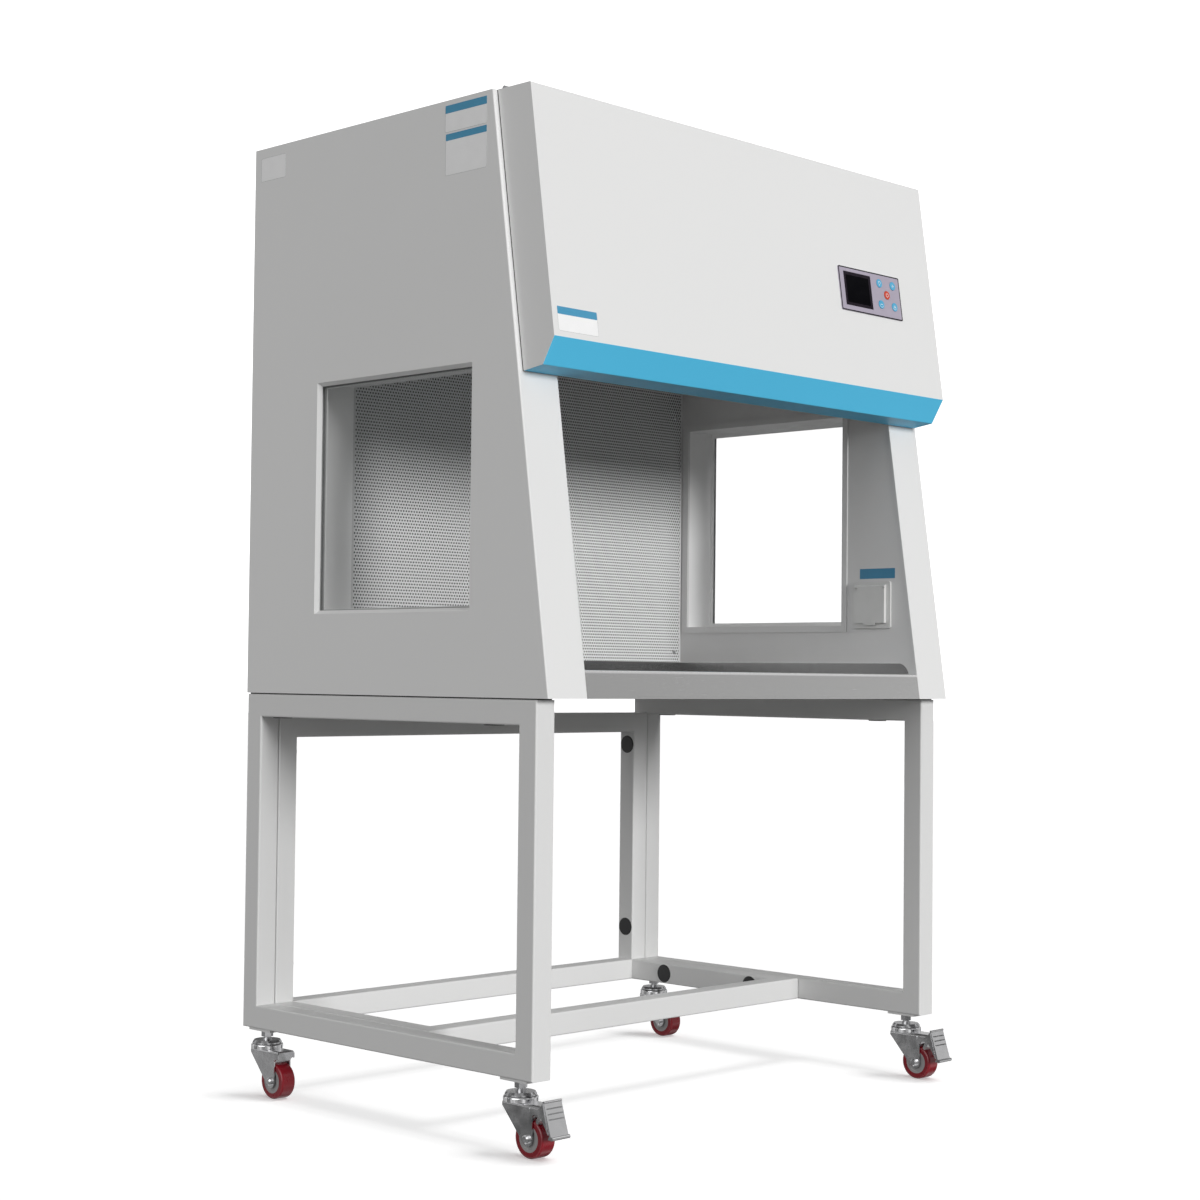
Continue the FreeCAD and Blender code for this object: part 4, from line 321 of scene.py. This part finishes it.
TREADS = tuple(n for n in nodes if n.endswith("_tread"))
FORKS_AND_PEDALS = tuple(n for n in nodes if n.endswith(("_fork", "_pedal")))
FRAMES = ("left_side_frame", "right_side_frame", "cross_frame")
DRESSED = {
    "cabinet_paint": ("left_side_panel", "right_side_panel", "rear_cover", "top_cover",
                      "intake_grille", "base_panel"),
    "inner_paint": ("fan_deck", "diffuser_plate"),
    "wall_paint": ("left_inner_wall", "right_inner_wall"),
    "stand_paint": FRAMES,
    "hood_paint": ("hood_shell",),
    "worktop": ("work_surface",),
    "galvanised": ("blower_housing", "motor_mount"),
    "zinc": ("frame_bolts", "panel_screws", "hood_hinge_bases", "hood_hinge_flaps"),
    "chrome": FORKS_AND_PEDALS,
    "turned_chrome": ("caster_stems",),
    "aluminium": ("hepa_frame",),
    "cast": ("motor_rotor",),
    "rubber": ("cabinet_pads",),
    "gasket": ("window_gaskets",),
    "seal": ("hood_seal",),
    "black_plastic": ("frame_plugs", "socket_insert", "power_inlet"),
    "impeller": ("blower_impeller",),
    "socket": ("socket_plate", "socket_cover"),
    "tread": TREADS,
    "hub": tuple(n for n in nodes if n.endswith("_hub")),
    "bezel": ("control_bezel",),
    "screen_rim": ("display",),
    "red_key": ("button_power",),
    "blue_key": ("button_light", "button_uv", "button_slower", "button_faster"),
    "board": ("control_board",),
    "paper": ("hepa_media",),
    "foam": ("prefilter",),
    "lamp": ("led_lamp",),
    "pane": ("window_panes",),
    "uv_glass": ("uv_lamp",),
}


def dress(obj, material):
    obj.data.materials.clear()
    obj.data.materials.append(materials[material])


for name, members in DRESSED.items():
    for member in members:
        dress(nodes[member], name)


# New pieces: each is drawn flat, in millimetres, and then laid on a surface

def add_mesh(name, points, faces, material, body, slot, matrix):
    mesh = bpy.data.meshes.new(name)
    mesh.from_pydata(points, [], faces)
    mesh.update()
    mesh.transform(matrix)
    piece = bpy.data.objects.new(name, mesh)
    scene.collection.objects.link(piece)
    dress(piece, material)
    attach(piece, body)
    return piece


def rounded_rectangle(width, tall, radius, steps=5):
    """Corner points of a rounded rectangle about the origin, anticlockwise."""
    points = []
    for corner, (sx, sy) in enumerate(((1, 1), (-1, 1), (-1, -1), (1, -1))):
        for step in range(steps + 1):
            angle = math.radians(90 * corner + 90 * step / steps)
            points.append((sx * (width / 2 - radius) + radius * math.cos(angle),
                           sy * (tall / 2 - radius) + radius * math.sin(angle)))
    return points


def slab(outline, low, high):
    """A closed slab over a flat outline."""
    count = len(outline)
    points = [(x, y, low) for x, y in outline] + [(x, y, high) for x, y in outline]
    faces = [tuple(range(count - 1, -1, -1)), tuple(range(count, 2 * count))]
    faces += [(i, (i + 1) % count, count + (i + 1) % count, count + i) for i in range(count)]
    return points, faces


def ring(outer, inner, low, high):
    """A closed frame between two outlines of equal count."""
    count = len(outer)
    up = 2 * count
    points = [(x, y, z) for z in (low, high) for loop in (outer, inner) for x, y in loop]
    faces = []
    for a in range(count):
        b = (a + 1) % count
        c, d = count + b, count + a
        faces += [(a, d, c, b), (a + up, b + up, c + up, d + up), (a, b, b + up, a + up),
                  (d, d + up, c + up, c)]
    return points, faces


def frame_at(origin, right, up):
    """The matrix that lays flat work on a surface through the origin, facing right x up."""
    right, up = Vector(right).normalized(), Vector(up).normalized()
    out = right.cross(up)
    turn = Matrix((right, up, out)).transposed().to_4x4()
    return Matrix.Translation(Vector(origin) * MM) @ turn @ Matrix.Scale(MM, 4)


def hood_face(x, z, proud=0.0):
    """A place on the hood's front plane, or in front of it."""
    depth = TOP_DEPTH + HOOD_RUN + LEAN * (TOP - z)
    up = Vector((0, LEAN, 1)).normalized()
    out = Vector((1, 0, 0)).cross(up)
    return frame_at(Vector((x, REAR - depth, z)) + out * proud, (1, 0, 0), up)


def left_side(depth, z):
    """A place on the left side panel, by its depth and height."""
    return frame_at((-SIDE_X, REAR - depth, z), (0, -1, 0), (0, 0, 1))


def facing_front(x, y, z):
    """A place for upright work that faces the front."""
    return frame_at((x, y, z), (1, 0, 0), (0, 0, 1))


# Blank cards

def card(name, matrix, width, tall, header=0.0, body="cabinet"):
    """A blank card with a thin grey rim, and a plain coloured header where it has one."""
    thick, rim_height, rim_width, header_thick = 0.12, 0.04, 0.4, 0.06
    outline = rounded_rectangle(width, tall, 3)
    field = rounded_rectangle(width - 2 * rim_width, tall - 2 * rim_width, 3 - rim_width)
    rim = ring(outline, field, thick, thick + rim_height)
    slot = "white_plastic"
    add_mesh(name, *slab(outline, 0, thick), "card", body, slot, matrix)
    add_mesh(name + "_rim", *rim, "card_line", body, slot, matrix)
    if header:
        band = rounded_rectangle(width - 2 * rim_width, header, 1)
        place = matrix @ Matrix.Translation((0, (tall - header) / 2, thick))
        add_mesh(name + "_header", *slab(band, 0, header_thick), "card_blue", body, slot, place)


card("upper_side_card", left_side(559.5, 1643.5), 100, 44, 13)
card("lower_side_card", left_side(560.5, 1584.5), 98.5, 68, 11)
card("rear_side_card", left_side(52, 1636), 70, 42)
card("hood_card", hood_face(-455.8, 1295.5), 88.5, 39.5, 12.5, "hood")


# Perforated diffuser

def perforated_plate():
    """The diffuser's sheet with its staggered round holes, in front of the filter, and a dark sheet
    of painted shade behind the holes.
    """
    pitch, row_pitch, hole, margin = 6.24, 5.70, 1.90, 2.5
    rim_depth, lap, setback = 4.8, 0.05, 0.06
    shade_sheet_back, shade_sheet_front = -2.6, -2.4
    low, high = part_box("diffuser_plate")
    width, tall = (high.x - low.x) / MM, (high.z - low.z) / MM
    columns = int((width - 2 * margin) // pitch)
    rows = int((tall - 2 * margin) // row_pitch)
    left, bottom = -columns * pitch / 2, -rows * row_pitch / 2
    points, faces, found = [], [], {}

    def point(x, y):
        key = (round(x, 3), round(y, 3))
        if key not in found:
            found[key] = len(points)
            points.append((x, y, 0))
        return found[key]

    corners = [(math.cos(math.radians(a)) * hole, math.sin(math.radians(a)) * hole)
               for a in (90, 30, -30, -90, -150, 150)]
    half_x, half_y = pitch / 2, row_pitch / 2
    cell = [(0, half_y), (half_x, half_y), (half_x, -half_y), (0, -half_y), (-half_x, -half_y),
            (-half_x, half_y)]
    end_piece = [(0, -half_y), (half_x, -half_y), (half_x, half_y), (0, half_y)]
    for row in range(rows):
        staggered = row % 2
        y = bottom + (row + 0.5) * row_pitch
        for column in range(columns - staggered):
            x = left + (column + 0.5) * pitch + staggered * half_x
            rim = [point(x + a, y + b) for a, b in cell]
            first = len(points)
            points.extend((x + a, y + b, 0) for a, b in corners)
            for i in range(6):
                j = (i + 1) % 6
                faces.append((rim[j], rim[i], first + i, first + j))
        if staggered:
            for x in (left, left + (columns - 0.5) * pitch):
                faces.append(tuple(point(x + a, y + b) for a, b in end_piece))

    # the plain edge laps a hair over the perforated field, and its rim folds back
    outer = [(-width / 2, -tall / 2), (width / 2, -tall / 2), (width / 2, tall / 2),
             (-width / 2, tall / 2)]
    inner = [(left, bottom), (-left, bottom), (-left, -bottom), (left, -bottom)]
    base = len(points)
    for loop, level in ((outer, -rim_depth), (outer, lap), (inner, lap)):
        points.extend((x, y, level) for x, y in loop)
    for start in (base, base + 4):
        for i in range(4):
            j = (i + 1) % 4
            faces.append((start + i, start + j, start + 4 + j, start + 4 + i))

    x, y, z = (low.x + high.x) / 2 / MM, low.y / MM, (low.z + high.z) / 2 / MM
    sheet = add_mesh("perforated_diffuser", points, faces, "diffuser_paint", "cabinet",
                     "inner_powder_coat", facing_front(x, y + setback, z))
    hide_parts("diffuser_plate")
    # painted shade: a near-black sheet behind the holes darkens the white filter media
    add_mesh("diffuser_painted_shade", *slab(inner, shade_sheet_back, shade_sheet_front), "scrim", "cabinet",
             "filter_fabric", facing_front(x, y, z))


perforated_plate()


# Control panel

PANEL = (319, 1445)
PANEL_TOP = 2.0
KEYS = {"power": (0, 0), "light": (-1, 1), "uv": (1, 1), "slower": (-1, -1), "faster": (1, -1)}
KEY_MIDDLE = (48.5, 2.8)
KEY_STEP = 20
KEY_TOP = 3.0
MARK_LIFT = 0.04


def panel_graphics():
    """The black line round the panel, and the display's glass."""
    width, tall, line = 180, 82, 2.2
    face = hood_face(*PANEL, PANEL_TOP)
    rim = rounded_rectangle(width, tall, 3)
    inner = rounded_rectangle(width - 2 * line, tall - 2 * line, 2.0)
    add_mesh("panel_outline", *ring(rim, inner, -0.05, 0.05), "ink", "hood", "display_gloss", face)
    screen = rounded_rectangle(66, 51, 1.5)
    glass_at = face @ Matrix.Translation((-36.7, 1, -0.3))
    add_mesh("display_glass", *slab(screen, 0, 0.25), "screen", "hood", "display_gloss", glass_at)


def stroke(points, width):
    """A flat line of even width through points."""
    count = len(points)
    left, right = [], []
    for i, (x, y) in enumerate(points):
        before, after = points[max(i - 1, 0)], points[min(i + 1, count - 1)]
        along = (Vector(after) - Vector(before)).normalized()
        side = Vector((-along.y, along.x)) * width / 2
        left.append((x + side.x, y + side.y, 0))
        right.append((x - side.x, y - side.y, 0))
    return left + right, [(count + i, count + i + 1, i + 1, i) for i in range(count - 1)]


def arc(radius, start, end, x=0.0, y=0.0, steps=20):
    """Points along an arc, its angles in degrees."""
    angles = [math.radians(start + (end - start) * i / steps) for i in range(steps + 1)]
    return [(x + radius * math.cos(a), y + radius * math.sin(a)) for a in angles]


def joined(*meshes):
    """Several meshes as one."""
    points, faces = [], []
    for more, polygons in meshes:
        start = len(points)
        points += more
        faces += [tuple(start + i for i in f) for f in polygons]
    return points, faces


def rays(inner, outer, count, width):
    """Short lines that point away from the middle."""
    lines = []
    for i in range(count):
        angle = 2 * math.pi * i / count
        across, up = math.cos(angle), math.sin(angle)
        lines.append(stroke([(inner * across, inner * up), (outer * across, outer * up)], width))
    return lines


def key_marks():
    """Plain signs on the keys: on and off, lamp, rays, less air and more air."""
    underline = stroke(arc(5.2, 200, 340), 0.6)
    minus = stroke([(-3.2, 0), (3.2, 0)], 1.1)
    signs = {
        "power": joined(stroke(arc(3.4, 125, 415), 1.0), stroke([(0, 0.8), (0, 4.4)], 1.0)),
        "light": joined(stroke(arc(2.7, -50, 230, y=1), 0.9),
                        stroke([(-1.4, -2.6), (1.4, -2.6)], 0.9),
                        stroke([(-1.0, -4.0), (1.0, -4.0)], 0.8)),
        "uv": joined(*rays(1.9, 3.6, 6, 0.8), stroke(arc(1.1, 0, 360), 0.7)),
        "slower": joined(minus, underline),
        "faster": joined(minus, stroke([(0, -3.2), (0, 3.2)], 1.1), underline),
    }
    face = hood_face(*PANEL, KEY_TOP)
    for key, (across, up) in KEYS.items():
        place = face @ Matrix.Translation((KEY_MIDDLE[0] + across * KEY_STEP,
                                           KEY_MIDDLE[1] + up * KEY_STEP, MARK_LIFT))
        slot = "red_button" if key == "power" else "blue_button"
        add_mesh(f"mark_{key}", *signs[key], "key_mark", f"{key}_button", slot, place)


panel_graphics()
key_marks()


# Socket strip

def socket_strip():
    """The plain blue strip over the socket, on the right wall behind its raised window frame."""
    frame_proud = 2.5
    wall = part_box("right_inner_wall")[0].x / MM + frame_proud
    place = frame_at((wall, REAR - 665, 940), (0, -1, 0), (0, 0, 1))
    add_mesh("socket_strip", *slab(rounded_rectangle(82, 19, 0.6), 0, 0.15), "blue_strip",
             "cabinet", "blue_button", place)


socket_strip()


# Smooth shading of the solids

def smooth_by_angle(degrees=32):
    """A node group that shades smooth and keeps the hard edges hard."""
    tree = bpy.data.node_groups.new("smooth_by_angle", "GeometryNodeTree")
    for way in ("INPUT", "OUTPUT"):
        tree.interface.new_socket("Geometry", in_out=way, socket_type="NodeSocketGeometry")
    start = tree.nodes.new("NodeGroupInput")
    end = tree.nodes.new("NodeGroupOutput")
    angle = tree.nodes.new("GeometryNodeInputMeshEdgeAngle")
    test = tree.nodes.new("FunctionNodeCompare")
    test.data_type = "FLOAT"
    test.operation = "LESS_EQUAL"
    test.inputs[1].default_value = math.radians(degrees)
    faces = tree.nodes.new("GeometryNodeSetShadeSmooth")
    edges = tree.nodes.new("GeometryNodeSetShadeSmooth")
    edges.domain = "EDGE"
    tree.links.new(start.outputs[0], faces.inputs["Geometry"])
    tree.links.new(faces.outputs[0], edges.inputs["Geometry"])
    tree.links.new(angle.outputs["Unsigned Angle"], test.inputs[0])
    tree.links.new(test.outputs[0], edges.inputs["Shade Smooth"])
    tree.links.new(edges.outputs[0], end.inputs[0])
    return tree


smoothing = smooth_by_angle()
for item in nodes.values():
    item.modifiers.new("smooth", "NODES").node_group = smoothing


# Studio

def camera():
    """The camera fitted to the photograph: a 65 mm lens below the middle, looking up a little."""
    yaw, pitch, roll = 0.79641, 0.0350, 0.01078
    place = (-2.8561, -2.7678, 0.7412)
    focal_pixels, picture_pixels, sensor = 2183.64, 1200, 36
    ahead = Vector((math.sin(yaw) * math.cos(pitch), math.cos(yaw) * math.cos(pitch),
                    math.sin(pitch)))
    level_right = Vector((math.cos(yaw), -math.sin(yaw), 0))
    level_up = level_right.cross(ahead)
    right = level_right * math.cos(roll) + level_up * math.sin(roll)
    up = level_up * math.cos(roll) - level_right * math.sin(roll)
    data = bpy.data.cameras.new("camera")
    data.sensor_width = sensor
    data.lens = focal_pixels / picture_pixels * sensor
    data.clip_start, data.clip_end = 0.05, 100
    view = bpy.data.objects.new("camera", data)
    turn = Matrix((right, up, -ahead)).transposed().to_4x4()
    view.matrix_world = Matrix.Translation(place) @ turn
    scene.collection.objects.link(view)
    scene.camera = view


def lit_world():
    """White behind the object. Reflections see a room of broad dark and light patches."""
    backdrop, ambient, dark_patch, light_patch = 1.4, 0.095, 0.06, 0.90
    world = bpy.data.worlds.new("studio")
    scene.world = world
    world.use_nodes = True
    tree = world.node_tree
    background = tree.nodes["Background"]
    background.inputs["Color"].default_value = (1, 1, 1, 1)
    ray = tree.nodes.new("ShaderNodeLightPath")
    direction = tree.nodes.new("ShaderNodeTexCoord")
    patches = tree.nodes.new("ShaderNodeTexNoise")
    patches.inputs["Scale"].default_value = 2.6
    patches.inputs["Detail"].default_value = 1.5
    tree.links.new(direction.outputs["Generated"], patches.inputs["Vector"])

    def ranged(value, low, high, start=0.0, end=1.0):
        """Maps a value onto low to high, each a number or a socket."""
        node = tree.nodes.new("ShaderNodeMapRange")
        settings = {"From Min": start, "From Max": end, "To Min": low, "To Max": high}
        for socket, number in settings.items():
            if isinstance(number, float):
                node.inputs[socket].default_value = number
            else:
                tree.links.new(number, node.inputs[socket])
        tree.links.new(value, node.inputs["Value"])
        return node.outputs["Result"]

    reflected = ranged(patches.outputs["Fac"], dark_patch, light_patch, 0.38, 0.62)
    unseen = ranged(ray.outputs["Is Glossy Ray"], ambient, reflected)
    strength = ranged(ray.outputs["Is Camera Ray"], unseen, backdrop)
    tree.links.new(strength, background.inputs["Strength"])


def light_table():
    """The white floor. It glows, so the shadows on it stay faint, and it lights nothing."""
    far = 30
    corners = [(-far, -far, 0), (far, -far, 0), (far, far, 0), (-far, far, 0)]
    mesh = bpy.data.meshes.new("floor")
    mesh.from_pydata(corners, [], [(0, 1, 2, 3)])
    ground = bpy.data.objects.new("floor", mesh)
    scene.collection.objects.link(ground)
    paper = Material("floor_paper", (0.90, 0.90, 0.90), 0.9, Emission_Color=(1, 1, 1, 1),
                     Emission_Strength=0.42, Specular_IOR_Level=0.0)
    paper.tint(paper.noise(scale=0.4, detail=2), 0.01)
    ground.data.materials.append(paper.material)
    ground.visible_diffuse = False
    ground.visible_glossy = False
    return ground


def collected(name, objects, state):
    """A light linking collection of objects that a light takes in or passes by."""
    group = bpy.data.collections.new(name)
    for index, item in enumerate(objects):
        group.objects.link(item)
        group.collection_objects[index].light_linking.link_state = state
    return group


def sun(name, azimuth, height, strength, spread):
    """A distant light: azimuth from straight ahead toward the right, and height, in degrees."""
    data = bpy.data.lights.new(name, "SUN")
    data.energy = strength
    data.angle = math.radians(spread)
    lamp = bpy.data.objects.new(name, data)
    across, up = math.radians(azimuth), math.radians(height)
    source = Vector((math.sin(across) * math.cos(up), -math.cos(across) * math.cos(up),
                     math.sin(up)))
    lamp.location = source * 6
    lamp.rotation_mode = "QUATERNION"
    lamp.rotation_quaternion = (-lamp.location).to_track_quat("-Z", "Y")
    scene.collection.objects.link(lamp)
    return lamp


def studio():
    """Four lights for the object, two of them for its unseen sides, and two for the floor."""
    lit_world()
    ground = light_table()
    inside = [nodes[n] for n in ("left_inner_wall", "right_inner_wall", "fan_deck", "work_surface")]
    inside += [bpy.data.objects[n] for n in ("perforated_diffuser", "diffuser_painted_shade")]
    for name, azimuth, height, strength, spread, spared in (
            ("key", -3, 13.5, 2.46, 17, []),
            ("left_fill", -80, 20, 1.16, 50, []),
            ("back_light", 165, 10, 1.9, 40, inside),
            ("right_fill", 95, 10, 1.1, 50, inside)):
        lamp = sun(name, azimuth, height, strength, spread)
        # seen straight on, steel would mirror the others as plain white
        lamp.visible_glossy = name == "left_fill"
        passed = collected(name + "_passes", [ground] + spared, "EXCLUDE")
        lamp.light_linking.receiver_collection = passed

    treads = [nodes[n] for n in TREADS]
    casters = treads + [nodes[n] for n in FORKS_AND_PEDALS]
    stand = treads + [nodes[n] for n in FRAMES]
    floor_only = collected("floor_lights_reach", [ground], "INCLUDE")
    for name, azimuth, height, strength, spread, stops in (
            ("stand_shadow", 0, 89, 0.8, 26, stand),
            ("caster_shadow", 45, 55, 1.28, 35, casters)):
        lamp = sun(name, azimuth, height, strength, spread)
        lamp.light_linking.receiver_collection = floor_only
        lamp.light_linking.blocker_collection = collected(name + "_stops", stops, "INCLUDE")
    scene.view_settings.view_transform = "Standard"


camera()
studio()
